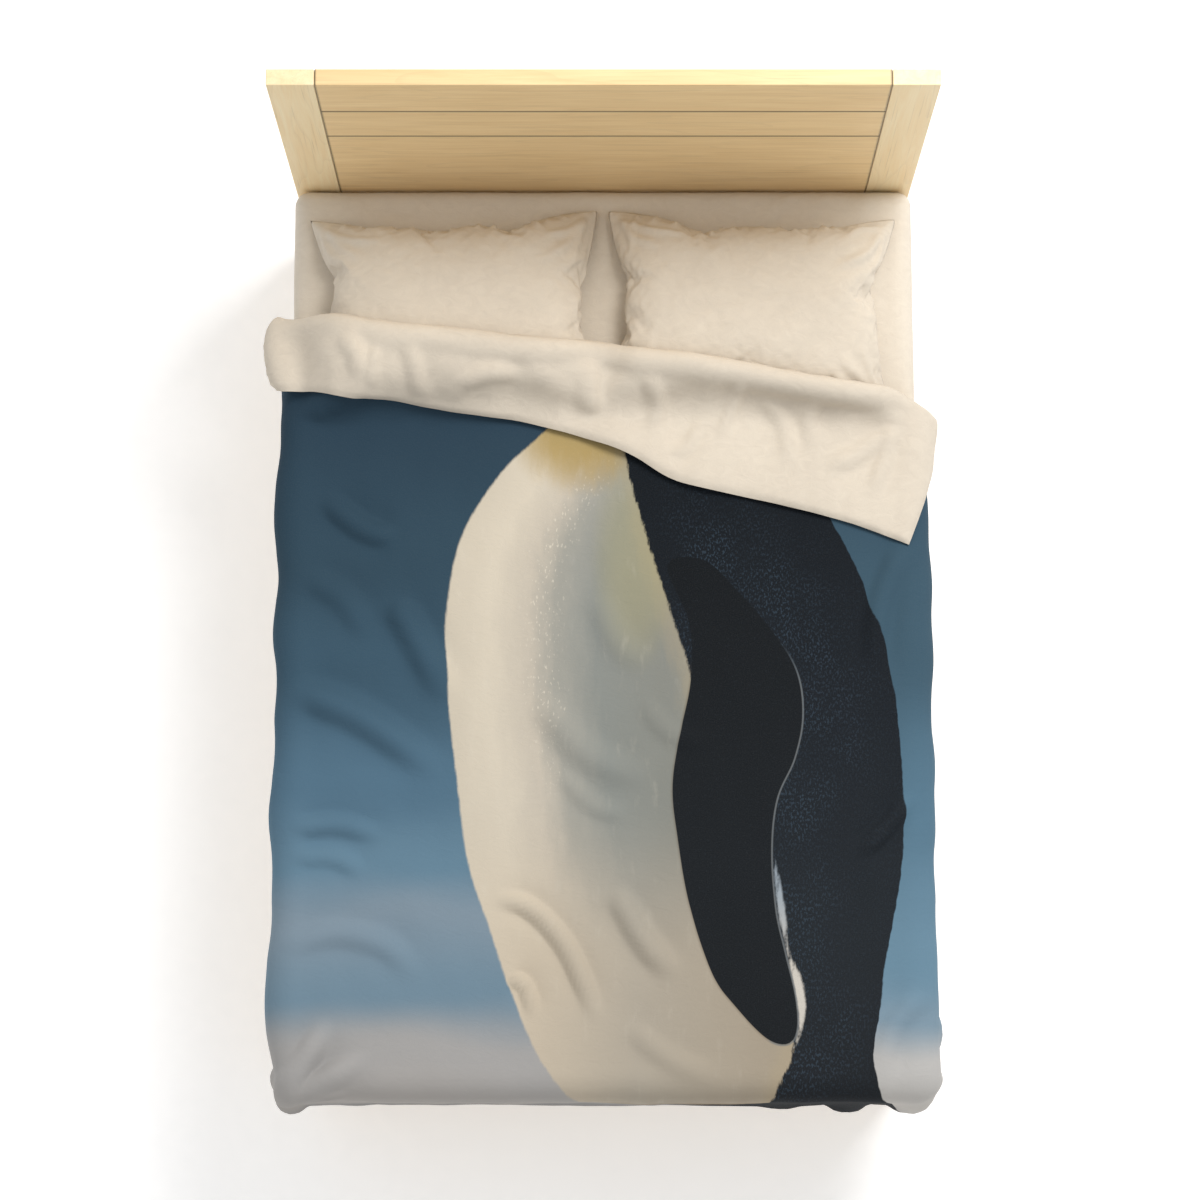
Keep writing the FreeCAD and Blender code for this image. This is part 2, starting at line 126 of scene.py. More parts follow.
def grid_faces(rows, cols, start=0, flip=False):
    faces = []
    for j in range(rows - 1):
        for i in range(cols - 1):
            a = start + j * cols + i
            quad = (a, a + 1, a + cols + 1, a + cols)
            faces.append(quad[::-1] if flip else quad)
    return faces


def smoothstep(low, high, x):
    t = np.clip((x - low) / (high - low), 0, 1)
    return t * t * (3 - 2 * t)


def field(points, scale, seed):
    """Smooth noise from -1 to 1 at each point, by size of its lumps in metres."""
    offset = Vector((seed * 17.3, seed * 5.1, seed * 9.7))
    return np.array([noise.noise(Vector(p) / scale + offset) for p in points])


def spline(points, closed=False, per_span=12):
    """A smooth curve through a few given points."""
    p = np.array(points, float)
    if closed:
        p = np.vstack([p[-1], p, p[:2]])
    else:
        p = np.vstack([2 * p[0] - p[1], p, 2 * p[-1] - p[-2]])
    t = np.linspace(0, 1, per_span, endpoint=False)[:, None]
    runs = []
    for a, b, c, d in zip(p[:-3], p[1:-2], p[2:-1], p[3:]):
        runs.append(0.5 * (2 * b + (c - a) * t + (2 * a - 5 * b + 4 * c - d) * t**2
                           + (3 * b - a - 3 * c + d) * t**3))
    return np.vstack(runs) if closed else np.vstack(runs + [p[-2:-1]])


def distance_to(path, x, y, closed=False):
    """Distance from each point to a polyline, with how far along it the nearest place is, from 0 to 1."""
    ends = np.vstack([path[1:], path[:1]]) if closed else path[1:]
    starts = path if closed else path[:-1]
    best = np.full(x.shape, 1e9)
    along = np.zeros(x.shape)
    for k, ((x0, y0), (x1, y1)) in enumerate(zip(starts, ends)):
        dx, dy = x1 - x0, y1 - y0
        t = np.clip(((x - x0) * dx + (y - y0) * dy) / max(dx * dx + dy * dy, 1e-12), 0, 1)
        d = np.hypot(x - x0 - t * dx, y - y0 - t * dy)
        nearer = d < best
        best = np.where(nearer, d, best)
        along = np.where(nearer, (k + t) / len(starts), along)
    return best, along


def signed_distance(outline, x, y):
    """Distance to a closed outline, positive inside."""
    path = spline(outline, closed=True)
    d, _ = distance_to(path, x, y, closed=True)
    inside = np.zeros(x.shape, bool)
    for (x0, y0), (x1, y1) in zip(path, np.vstack([path[1:], path[:1]])):
        crosses = (y0 > y) != (y1 > y)
        rise = y1 - y0 if y1 != y0 else 1e-12
        inside ^= crosses & (x < (x1 - x0) * (y - y0) / rise + x0)
    return np.where(inside, d, -d)


def left_side(outline, y):
    """x of a closed outline's left side at each height, held beyond its ends."""
    path = spline(outline, closed=True)
    levels = np.linspace(path[:, 1].min(), path[:, 1].max(), 82)[1:-1]
    after = np.vstack([path[1:], path[:1]])
    sides = []
    for level in levels:
        cut = (path[:, 1] > level) != (after[:, 1] > level)
        (x0, y0), (x1, y1) = path[cut].T, after[cut].T
        sides.append((x0 + (x1 - x0) * (level - y0) / (y1 - y0)).min())
    return np.interp(y, levels, sides)


def creases(strokes, x, y):
    """Height of soft folds: each is (points, half width, height in mm), fading at its ends."""
    total = np.zeros(x.shape)
    for points, width, height in strokes:
        d, along = distance_to(spline(points), x, y)
        fade = smoothstep(0, 0.25, along) * smoothstep(0, 0.35, 1 - along)
        swell = np.exp(-(d / width) ** 2) - 0.45 * np.exp(-(d / (2.2 * width)) ** 2)
        total += height * MM * fade * swell
    return total


# ---- materials -------------------------------------------
class Nodes:
    """Short calls for building a node material."""

    def __init__(self, name):
        self.material = bpy.data.materials.new(name)
        self.material.use_nodes = True
        self.tree = self.material.node_tree
        self.shader = self.tree.nodes["Principled BSDF"]
        self.space = self.add("ShaderNodeTexCoord").outputs["Object"]

    def add(self, kind, inputs=(), **settings):
        node = self.tree.nodes.new(kind)
        for key, value in settings.items():
            setattr(node, key, value)
        for key, value in dict(inputs).items():
            self.plug(value, node.inputs[key])
        return node

    def plug(self, value, socket):
        if isinstance(value, bpy.types.NodeSocket):
            self.tree.links.new(value, socket)
        else:
            socket.default_value = value

    def math(self, operation, a, b=0.0):
        node = self.add("ShaderNodeMath", operation=operation)
        self.plug(a, node.inputs[0])
        self.plug(b, node.inputs[1])
        return node.outputs[0]

    def plus(self, a, b):
        return self.math("ADD", a, b)

    def times(self, a, b):
        return self.math("MULTIPLY", a, b)

    def swing(self, noise, amount):
        """A noise from 0 to 1 as a change of that amount about nothing."""
        return self.times(self.math("SUBTRACT", noise, 0.5), amount)

    def blob(self, x, y, centre, tightness):
        """0 at the centre of an oval spot and growing outwards."""
        across, up = (self.times(self.math("POWER", self.math("SUBTRACT", value, middle), 2.0), tight)
                      for value, middle, tight in zip((x, y), centre, tightness))
        return self.plus(across, up)

    def mapped(self, scale, offset=(0, 0, 0), space=None):
        node = self.add("ShaderNodeMapping", {
            "Vector": space or self.space, "Scale": scale, "Location": offset})
        return node.outputs[0]

    def waves(self, space, direction, **settings):
        node = self.add("ShaderNodeTexWave", {"Vector": space, **settings}, bands_direction=direction)
        return node.outputs["Fac"]

    def noise(self, space, scale, detail=3.0, roughness=0.55, distortion=0.0):
        node = self.add("ShaderNodeTexNoise", {"Vector": space, "Scale": scale, "Detail": detail,
                                                "Roughness": roughness, "Distortion": distortion})
        return node.outputs["Fac"]

    def ramp(self, value, stops, interpolation="LINEAR"):
        """Colour by value; stops are (place, (r, g, b) in sRGB 0-255)."""
        node = self.add("ShaderNodeValToRGB", {"Fac": value})
        node.color_ramp.interpolation = interpolation
        elements = node.color_ramp.elements
        while len(elements) < len(stops):
            elements.new(0.5)
        for element, (place, colour) in zip(elements, stops):
            element.position = place
            element.color = rgb(colour)
        return node.outputs["Color"]

    def range(self, value, low, high, to_low=0.0, to_high=1.0):
        node = self.add("ShaderNodeMapRange", {"Value": value, "From Min": low, "From Max": high,
                                                "To Min": to_low, "To Max": to_high},
                        interpolation_type="SMOOTHSTEP")
        return node.outputs["Result"]

    def mix(self, factor, a, b):
        """A colour between two, each a socket or an sRGB triple."""
        node = self.add("ShaderNodeMix", data_type="RGBA")
        for socket, value in ((0, factor), (6, a), (7, b)):
            self.plug(rgb(value) if isinstance(value, tuple) else value, node.inputs[socket])
        return node.outputs[2]

    def bump(self, height, strength, distance, normal=None):
        node = self.add("ShaderNodeBump", {"Height": height, "Strength": strength, "Distance": distance})
        if normal:
            self.plug(normal, node.inputs["Normal"])
        return node.outputs["Normal"]

    def attribute(self, name):
        return self.add("ShaderNodeAttribute", attribute_name=name).outputs["Fac"]

    def finish(self, colour, normal=None, roughness=None, **fixed):
        self.plug(colour, self.shader.inputs["Base Color"])
        if normal:
            self.plug(normal, self.shader.inputs["Normal"])
        if roughness is not None:
            self.plug(roughness, self.shader.inputs["Roughness"])
        for key, value in fixed.items():
            self.shader.inputs[key.replace("_", " ")].default_value = value
        return self.material


def rgb(colour):
    """sRGB 0-255 to linear, with alpha."""
    linear = [c / 12.92 if c <= 0.04045 else ((c + 0.055) / 1.055) ** 2.4
              for c in (v / 255 for v in colour)]
    return (*linear, 1.0)


def dimmed(colour, share):
    return tuple(c * share for c in colour)


def give(obj, material):
    obj.data.materials.clear()
    obj.data.materials.append(material)


def wood(name, along, seed, pale, deep, seams):
    """Sawn light maple: long streaks, flame figure and pores along one axis, each board its own.

    seams are (axis, place) planes where the board meets its neighbour; along them the colour is darkened as
    dust and painted shade in the joint."""
    n = Nodes(name)
    shift = (seed * 3.17, seed * 1.93, seed * 2.41)
    stretch = {"x": (1, 14, 14), "y": (14, 1, 14), "z": (14, 14, 1)}[along]
    fine = tuple(1 if s == 1 else 9 * s for s in stretch)
    warp = n.noise(n.mapped(tuple(0.45 * s if s > 1 else 0.7 for s in stretch), shift), 1.7, 2.0)
    bands = n.noise(n.mapped(stretch, shift), 3.2, 5.0, 0.66, 0.9)
    figure = n.range(n.math("FRACT", n.times(warp, 7.0)), 0.0, 0.22, 1.0, 0.0)
    pores = n.range(n.noise(n.mapped(fine, shift), 3.0, 2.0, 0.7), 0.60, 0.72)
    middle = tuple((a + b) / 2 for a, b in zip(pale, deep))
    colour = n.ramp(bands, [(0.25, deep), (0.48, middle), (0.72, pale)])
    colour = n.mix(n.times(figure, 0.16), colour, dimmed(deep, 0.86))
    colour = n.mix(n.times(pores, 0.34), colour, dimmed(deep, 0.72))
    # painted shade, with some dust, darkens each board along its seams with its neighbours
    for axis, place in seams:
        coordinate = n.add("ShaderNodeSeparateXYZ", {"Vector": n.space}).outputs[axis]
        away = n.math("ABSOLUTE", n.math("SUBTRACT", coordinate, place))
        colour = n.mix(n.range(away, 0.001, 0.0055, 0.75, 0.0), colour, dimmed(deep, 0.42))
    normal = n.bump(n.math("SUBTRACT", bands, n.times(pores, 0.5)), 0.25, 0.0006)
    return n.finish(colour, normal, n.range(bands, 0.2, 0.8, 0.52, 0.42))


def metal(name, tint):
    n = Nodes(name)
    cloud = n.noise(n.space, 60.0, 4.0)
    brushed = n.noise(n.mapped((40, 40, 900)), 1.0, 2.0)
    colour = n.ramp(cloud, [(0.3, dimmed(tint, 0.86)), (0.7, tint)])
    rough = n.range(cloud, 0.3, 0.7, 0.28, 0.45)
    return n.finish(colour, n.bump(brushed, 0.2, 0.0002), rough, Metallic=0.95)


def nylon(name):
    n = Nodes(name)
    cloud = n.noise(n.space, 150.0, 3.0)
    colour = n.ramp(cloud, [(0.3, (38, 37, 36)), (0.7, (54, 52, 50))])
    return n.finish(colour, n.bump(cloud, 0.3, 0.0003), 0.55)


def cloth_bump(n, space, weave_strength=0.35):
    """Plain weave and the small creases of washed cotton."""
    creased = n.noise(n.mapped((1, 1.6, 1), space=space), 26.0, 4.0, 0.62, 1.2)
    fine = n.noise(space, 240.0, 2.0, 0.6)
    warp, weft = (n.waves(space, way, Scale=160.0, Distortion=1.5, Detail=1.0) for way in "XY")
    weave = n.plus(n.times(warp, weft), n.times(fine, 0.6))
    normal = n.bump(creased, 0.30, 0.004)
    return n.bump(weave, weave_strength, 0.0004, normal), creased


def cotton(name, pale, deep):
    n = Nodes(name)
    normal, creased = cloth_bump(n, n.space)
    broad = n.noise(n.space, 3.0, 2.0)
    colour = n.ramp(n.times(n.plus(broad, creased), 0.5), [(0.3, deep), (0.7, pale)])
    thread = n.noise(n.space, 420.0, 2.0)
    colour = n.mix(n.range(thread, 0.35, 0.75, 0.0, 0.07), colour, dimmed(deep, 0.86))
    return n.finish(colour, normal, 0.88, Sheen_Weight=0.08, Sheen_Roughness=0.5,
                    Specular_IOR_Level=0.2)


# ---- camera, floor and light -----------------------------
def camera():
    data = bpy.data.cameras.new("camera")
    data.lens = 100.5
    data.sensor_width = 36
    obj = bpy.data.objects.new("camera", data)
    scene.collection.objects.link(obj)
    obj.location = (-0.007, -1.320, 7.850)
    obj.rotation_euler = (math.radians(10.69), 0, 0)
    scene.camera = obj


def area_light(name, place, target, size, power):
    data = bpy.data.lights.new(name, "AREA")
    data.energy = power
    data.size = size
    obj = bpy.data.objects.new(name, data)
    scene.collection.objects.link(obj)
    obj.location = place
    obj.rotation_euler = (Vector(target) - Vector(place)).to_track_quat("-Z", "Y").to_euler()


def studio():
    reach = 30
    corners = [(-reach, -reach, 0), (reach, -reach, 0), (reach, reach, 0), (-reach, reach, 0)]
    floor = mesh_object("floor", corners, [(0, 1, 2, 3)])
    n = Nodes("floor_white")
    speckle = n.noise(n.space, 30.0, 2.0)
    white = n.ramp(speckle, [(0.3, (248, 248, 248)), (0.7, (252, 252, 252))])
    give(floor, n.finish(white, roughness=0.9, Emission_Strength=0.28))
    world = bpy.data.worlds.new("studio")
    world.use_nodes = True
    sky = world.node_tree.nodes["Background"].inputs
    sky["Color"].default_value = (1, 1, 1, 1)
    sky["Strength"].default_value = 0.60
    scene.world = world
    area_light("key", (2.2, 2.4, 4.9), (0, -0.1, 0.4), 2.4, 205)
    area_light("fill", (-3.5, -1.0, 5.0), (0, 0, 0.2), 4.0, 25)
    scene.view_settings.view_transform = "Standard"


# ---- the CAD nodes that stay -----------------------------
PALE_MAPLE, DEEP_MAPLE = (247, 217, 165), (231, 197, 143)
PALE_POST, DEEP_POST = (253, 234, 192), (246, 217, 167)
PALE_PINE, DEEP_PINE = (236, 214, 174), (214, 182, 136)


def dress_frame():
    """Wood, metal and nylon on the frame's own nodes, the grain along each board."""
    steel = metal("zinc_plate", (196, 199, 204))
    bright = metal("zinc_fastener", (214, 216, 220))
    foot = nylon("glide_nylon")
    for seed, (name, obj) in enumerate(sorted(nodes.items())):
        if obj["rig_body"] != "frame":
            continue
        low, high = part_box(name)
        size = high - low
        if name.startswith(("bracket_bolts", "slat_screws")):
            give(obj, bright)
        elif name.startswith(("bracket", "beam_hanger")):
            give(obj, steel)
        elif name.startswith("glide"):
            give(obj, foot)
        else:
            along = "xyz"[max(range(3), key=lambda k: size[k])]
            colours = (PALE_MAPLE, DEEP_MAPLE) if name.startswith("headboard") else (PALE_PINE, DEEP_PINE)
            colours = (PALE_POST, DEEP_POST) if name.startswith("headboard_post") else colours
            # the plank joints, where the boards get painted shade and dust in their colour
            seams = []
            if name.startswith("headboard_plank"):
                seams = [("X", low.x), ("X", high.x), ("Z", low.z)]
                seams += [] if name.endswith("top") else [("Z", high.z)]
            give(obj, wood(name + "_wood", along, seed, *colours, seams))


# ---- mattress and fitted sheet ---------------------------
def rounded_block(name, low, high, radius, step, open_below=None):
    """A block with round edges as one even quad mesh; open_below leaves only a rim that wide underneath."""
    low, high = np.array(low, float), np.array(high, float)
    verts, faces = [], []
    for axis in range(3):
        a, b = [k for k in range(3) if k != axis]
        na, nb = (max(2, int(round((high[k] - low[k]) / step)) + 1) for k in (a, b))
        for side in (0, 1):
            ga, gb = np.meshgrid(np.linspace(low[a], high[a], na), np.linspace(low[b], high[b], nb))
            block = np.zeros((na * nb, 3))
            block[:, a], block[:, b] = ga.ravel(), gb.ravel()
            block[:, axis] = (low, high)[side][axis]
            faces += grid_faces(nb, na, len(verts), flip=(side == 0) != (axis == 1))
            verts += list(block)
    verts = np.array(verts)
    core = np.clip(verts, low + radius, high - radius)
    out = verts - core
    verts = core + radius * out / np.maximum(np.linalg.norm(out, axis=1), 1e-9)[:, None]
    obj = mesh_object(name, verts, faces)
    bm = bmesh.new()
    bm.from_mesh(obj.data)
    bmesh.ops.remove_doubles(bm, verts=bm.verts, dist=1e-5)
    if open_below is not None:
        rim = low + radius + open_below
        far = high - radius - open_below
        inner = []
        for face in bm.faces:
            middle = face.calc_center_median()
            if face.normal.z < -0.9 and rim[0] < middle.x < far[0] and rim[1] < middle.y < far[1]:
                inner.append(face)
        bmesh.ops.delete(bm, geom=inner, context="FACES")
    bm.to_mesh(obj.data)
    bm.free()
    obj.data.shade_smooth()
    return obj


def ticking(name):
    """Quilted mattress knit: diamonds of stitching on an off-white ground."""
    n = Nodes(name)
    one, two = (n.waves(n.mapped((way, 1, 1)), "DIAGONAL", Scale=3.2, Distortion=0.0) for way in (1, -1))
    quilt = n.math("MINIMUM", one, two)
    knit = n.noise(n.space, 350.0, 2.0)
    colour = n.ramp(quilt, [(0.0, (206, 202, 194)), (0.12, (236, 233, 226)), (1.0, (243, 241, 236))])
    normal = n.bump(knit, 0.3, 0.0005, n.bump(quilt, 0.6, 0.006))
    return n.finish(colour, normal, 0.9)


def mattress():
    """The mattress in its quilted cover, with a taped edge top and bottom."""
    clear = Vector((5 * MM, 5 * MM, 5 * MM))  # inside the sheet on every side
    low, high = MATTRESS_LO + clear, MATTRESS_HI - clear
    obj = rounded_block("mattress", low, high, 0.030, 0.025)
    p = points_of(obj)
    tape = 0.022  # its distance from the top and the bottom
    for z in (low.z + tape, high.z - tape):  # the tape stands proud of the border
        border = smoothstep(0.0, 0.02, (p[:, 2] - low.z)) * smoothstep(0.0, 0.02, (high.z - p[:, 2]))
        p += normals_of(obj) * (1.5 * MM * np.exp(-((p[:, 2] - z) / 0.006) ** 2) * border)[:, None]
    set_points(obj, p)
    give(obj, ticking("mattress_ticking"))
    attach(obj, "mattress")
    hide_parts("mattress_cover", "mattress_base_foam", "mattress_spring_core", "mattress_comfort_foam")


SHEET_TUCK = 0.030


def fitted_sheet(material):
    """A fitted sheet pulled over the mattress, gathered by its elastic under the corners."""
    low, high = (Vector(corner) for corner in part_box("fitted_sheet"))
    obj = rounded_block("fitted_sheet_cloth", low, high, SHEET_ROUND, 0.014, open_below=SHEET_TUCK)
    p, out = points_of(obj), normals_of(obj)
    x, y, z = p.T
    drag = creases([
        ([(0.45, 1.00), (0.40, 0.97), (0.33, 0.915)], 0.012, 7),
        ([(0.61, 1.00), (0.59, 0.97), (0.60, 0.93)], 0.014, 7),
        ([(0.52, 1.00), (0.49, 0.975), (0.44, 0.94)], 0.010, 5),
        ([(-0.60, 0.99), (-0.52, 0.93), (-0.40, 0.90)], 0.020, 4),
        ([(0.68, 0.93), (0.66, 0.80), (0.67, 0.62)], 0.014, 3),
        ([(-0.69, 0.84), (-0.64, 0.83), (-0.58, 0.835)], 0.008, 2),
        ([(-0.67, 0.97), (-0.655, 0.80), (-0.665, 0.60)], 0.014, 2.5),
    ], x, y) * smoothstep(0.2, 0.8, out[:, 2])
    reach = 0.16  # how far from a corner its gathers start
    corner = np.hypot(np.maximum(abs(x) - (high.x - reach), 0),
                      np.maximum(abs(y) - (high.y - reach), 0)) / reach
    lower = 1 - smoothstep(low.z, high.z - 0.05, z)
    around = np.arctan2(y - np.sign(y) * (high.y - 0.2), x - np.sign(x) * (high.x - 0.2))
    gathers = 2.5 * MM * np.sin(around * 46) * smoothstep(0.6, 1.2, corner) * lower
    slack = 1.2 * MM * field(p, 0.13, 3) + 0.6 * MM * field(p, 0.045, 4)
    side = 1 - smoothstep(0.2, 0.8, abs(out[:, 2]))
    hem = -1.5 * MM * np.exp(-((z - low.z - 0.030) / 0.005) ** 2) * side
    push = drag + gathers + slack + hem
    set_points(obj, p + out * np.maximum(push, -2 * MM)[:, None])
    give(obj, material)
    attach(obj, "mattress")
    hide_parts("fitted_sheet", "sheet_elastic")


# ---- cloth simulation ------------------------------------
def settle(obj, frames, settings):
    """Runs a cloth simulation without gravity or collisions and keeps its last frame as the mesh."""
    cloth = obj.modifiers.new("cloth", "CLOTH")
    for key, value in settings.items():
        setattr(cloth.settings, key, value)
    cloth.collision_settings.use_self_collision = False
    cloth.collision_settings.use_collision = False
    cloth.settings.effector_weights.gravity = 0
    cloth.point_cache.frame_start = 1
    cloth.point_cache.frame_end = frames
    for number in range(1, frames + 1):
        scene.frame_set(number)
    points = evaluated_points(obj)
    obj.modifiers.remove(cloth)
    scene.frame_set(1)
    set_points(obj, points)


# ---- pillows ---------------------------------------------
PILLOW_FLAT = (0.700, 0.500)  # the case before it was stuffed
PILLOW_STEP = 0.0105
PILLOW_BOW = (0.006, 0.021)  # how far its short and long seams bow outwards as cut
PILLOW_RISE, PILLOW_SINK = 0.082, 0.040  # height over and under the seam's level
PILLOW_SLIDE = 0.060  # its travel towards the headboard
EAR_GIVE = 0.008  # how softly the ears bend short of the headboard


def calmed(shape, steps):
    """A pillow panel whose seam has lost most of its small ripples, and the cloth beside it with them."""
    kernel = np.exp(-np.linspace(-2, 2, 2 * steps + 1) ** 2)
    kernel /= kernel.sum()
    for _ in range(4):
        line = shape[0]
        padded = np.vstack([2 * line[0] - line[steps:0:-1], line, 2 * line[-1] - line[-2:-steps - 2:-1]])
        smooth = np.stack([np.convolve(padded[:, k], kernel, "valid") for k in range(3)], axis=1)
        keep = smoothstep(0, 5, np.minimum(np.arange(len(line)), np.arange(len(line))[::-1]))
        change = 0.85 * (smooth - line) * keep[:, None]
        weights = np.exp(-(np.arange(shape.shape[0]) * PILLOW_STEP / 0.035) ** 2)
        shape += weights[:, None, None] * change[None]
        shape = np.rot90(shape)
    return shape


def pillow_folds(seed):
    """Creases drawn out of the four ears, and short puckers along the two long seams."""
    rng = np.random.default_rng(seed)
    half_x, half_y = PILLOW_FLAT[0] / 2, PILLOW_FLAT[1] / 2
    strokes = []
    for sx in (-1, 1):
        for sy in (-1, 1):
            for lean, reach in ((0.45, 0.17), (0.80, 0.20), (1.15, 0.15)):
                lean, reach = lean + rng.uniform(-0.12, 0.12), reach * rng.uniform(0.7, 1.1)
                start = np.array([sx * (half_x - 0.03), sy * (half_y - 0.03)])
                step = np.array([-sx * math.cos(lean), -sy * math.sin(lean)]) * reach
                bend = np.array([step[1], -step[0]]) * rng.uniform(-0.15, 0.15)
                strokes.append(([start, start + step / 2 + bend, start + step], 0.011, rng.uniform(5, 9)))
    for side in (-1, 1):
        for x in np.linspace(-0.78, 0.78, 17) * half_x:
            x += rng.uniform(-0.012, 0.012)
            length, slant = rng.uniform(0.03, 0.08), rng.uniform(-0.015, 0.015)
            points = [(x, side * half_y), (x + slant / 2, side * (half_y - length / 2)),
                      (x + slant, side * (half_y - length))]
            strokes.append((points, 0.008, rng.uniform(3, 8)))
    return strokes


def sewn(name, top, bottom):
    """Two panels of the same grid joined all round: the object, and each panel's vertex numbers."""
    ny, nx = top.shape[:2]
    inner = np.zeros((ny, nx), bool)
    inner[1:-1, 1:-1] = True
    on_top = np.arange(nx * ny).reshape(ny, nx)
    below = on_top.copy()
    below[inner] = nx * ny + np.arange(inner.sum())
    faces = []
    for j in range(ny - 1):
        for i in range(nx - 1):
            faces.append((on_top[j, i], on_top[j, i + 1], on_top[j + 1, i + 1], on_top[j + 1, i]))
            faces.append((below[j, i], below[j + 1, i], below[j + 1, i + 1], below[j, i + 1]))
    return mesh_object(name, np.vstack([top.reshape(-1, 3), bottom[inner]]), faces), on_top, below


def blown_up(seed):
    """The two panels of a pillowcase inflated by its filling, as grids of points about its middle."""
    nx, ny = (int(round(s / PILLOW_STEP)) + 1 for s in PILLOW_FLAT)
    u, v = np.meshgrid(np.linspace(-1, 1, nx), np.linspace(-1, 1, ny))
    x = u * PILLOW_FLAT[0] / 2 + PILLOW_BOW[0] * u * (1 - v**2)
    y = v * PILLOW_FLAT[1] / 2 + PILLOW_BOW[1] * v * (1 - u**2)
    edge = np.minimum(PILLOW_FLAT[0] / 2 * (1 - abs(u)), PILLOW_FLAT[1] / 2 * (1 - abs(v)))
    rise = 0.012 * smoothstep(0, 0.05, edge)
    rough = 1.0 * MM * np.random.default_rng(seed).standard_normal((2, ny, nx)) * (edge > 1e-6)
    obj, on_top, below = sewn("pillow_blank", np.stack([x, y, rise + rough[0]], -1),
                              np.stack([x, y, -rise + rough[1]], -1))
    settle(obj, 36, {
        "quality": 6, "mass": 0.15, "air_damping": 6.0, "tension_stiffness": 22.0,
        "compression_stiffness": 22.0, "shear_stiffness": 8.0, "bending_stiffness": 0.4,
        "use_pressure": True, "uniform_pressure_force": 6.0,
    })
    p = points_of(obj)
    p[:, 2] -= p[on_top[0], 2].mean()
    bpy.data.objects.remove(obj)
    return calmed(p[on_top], 8), calmed(p[below], 8)


def settled(p, peak):
    """A blown-up panel at the pillow's real height, flat where it lies on the sheet, its ears sunk."""
    p[..., 2] *= np.where(p[..., 2] > 0, PILLOW_RISE, PILLOW_SINK) / peak
    flat_z = -0.9 * PILLOW_SINK
    p[..., 2] = np.maximum(p[..., 2], flat_z + 0.15 * np.minimum(p[..., 2] - flat_z, 0))
    reach = np.hypot(p[..., 0] / PILLOW_FLAT[0], p[..., 1] / PILLOW_FLAT[1])
    p[..., 2] -= 0.020 * smoothstep(0.42, 0.62, reach)
    return doubled(p)


def pillow(name, case, yaw, seed, material):
    """A pillow in its case: two panels sewn together, blown up as cloth and rested on the sheet."""
    low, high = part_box(case)
    centre = (low + high) / 2
    top, bottom = blown_up(seed)
    peak = top[..., 2].max()
    top, bottom = settled(top, peak), settled(bottom, peak)
    ny, nx = top.shape[:2]
    x, y = np.meshgrid(np.linspace(-0.5, 0.5, nx) * PILLOW_FLAT[0],
                       np.linspace(-0.5, 0.5, ny) * PILLOW_FLAT[1])
    edge = np.minimum(PILLOW_FLAT[0] / 2 - abs(x), PILLOW_FLAT[1] / 2 - abs(y))
    slack = field(np.stack([x, y, 0 * x], -1).reshape(-1, 3), 0.07, seed + 20).reshape(ny, nx)
    folds = 1.25 * creases(pillow_folds(seed), x, y) + 3.0 * MM * slack
    top += grid_normals(top) * (folds * smoothstep(0, 0.012, edge))[..., None]
    obj, _, _ = sewn(name, top, bottom)
    p = points_of(obj)
    turn = math.radians(yaw)
    turned_x = p[:, 0] * math.cos(turn) - p[:, 1] * math.sin(turn)
    turned_y = p[:, 0] * math.sin(turn) + p[:, 1] * math.cos(turn) + centre.y
    lift = SHEET_TOP + 1.0 * MM - p[:, 2].min()
    start = HEAD_Y - PILLOW_SLIDE - 1.25 * EAR_GIVE  # past it, the ears bend and so miss the headboard
    bent = start + EAR_GIVE * (1 - np.exp((start - turned_y) / EAR_GIVE))
    turned_y = np.where(turned_y > start, bent, turned_y)
    set_points(obj, np.column_stack([turned_x + centre.x, turned_y, p[:, 2] + lift]))
    give(obj, material)
    return obj


# ---- duvet -----------------------------------------------
# Flat coordinates: x across the bed, y as if the duvet lay unfolded on the mattress, so the print is drawn
# in the same numbers as the bed.
DUVET_W = 1.60
DUVET_STEP = 0.0160
HALF_T = 0.011  # half the duvet's thickness
FOLD_R = 0.017  # middle of the duvet's thickness at the fold
FOLD_ANGLE = math.radians(7.6)
FOLD_START = 0.556  # y on the middle line where the fold's curve begins
FOOT_HEM = FOOT_EDGE - 0.235
HEAD_HEM = 0.850
FOLD_BOW = [(-0.80, 0.0), (-0.60, 0.020), (-0.34, 0.034), (0.0, 0.046), (0.21, 0.060), (0.41, 0.050),
            (0.57, 0.033), (0.72, 0.0), (0.80, -0.01)]  # (along the fold, how far it bows towards the head)
FLAP_DEPTH = [(-0.80, 0.135), (-0.60, 0.142), (-0.36, 0.162), (-0.10, 0.172), (0.0, 0.184), (0.09, 0.208),
              (0.21, 0.256), (0.41, 0.266), (0.60, 0.275), (0.80, 0.285)]  # (along the fold, fold to hem)
FLAP_CORNER = 0.035  # how far the flap's right corner is pulled inwards
RAMP = 0.30  # run of the climb onto the pillows
RAMP_RISE = 0.135
REST = SHEET_TOP + 0.012  # start height of the middle surface
FOOT_SLACK = 0.030  # the thick foot end keeps the cover this far off the mattress
SIDE_HANG, FOOT_HANG = 0.030, 0.058  # how far the hanging edges may stand off the mattress
FLARE = 0.027  # how much further the flap's ends may


def fold_frame(x, y):
    """(along the fold, towards the head) of flat points."""
    c, s = math.cos(FOLD_ANGLE), math.sin(FOLD_ANGLE)
    along = x * c - (y - FOLD_START) * s
    return along, x * s + (y - FOLD_START) * c - read_off(FOLD_BOW, along)


def read_off(points, x):
    """Height at x of a smooth curve through a few points."""
    curve = spline(points)
    return np.interp(x, curve[:, 0], curve[:, 1])


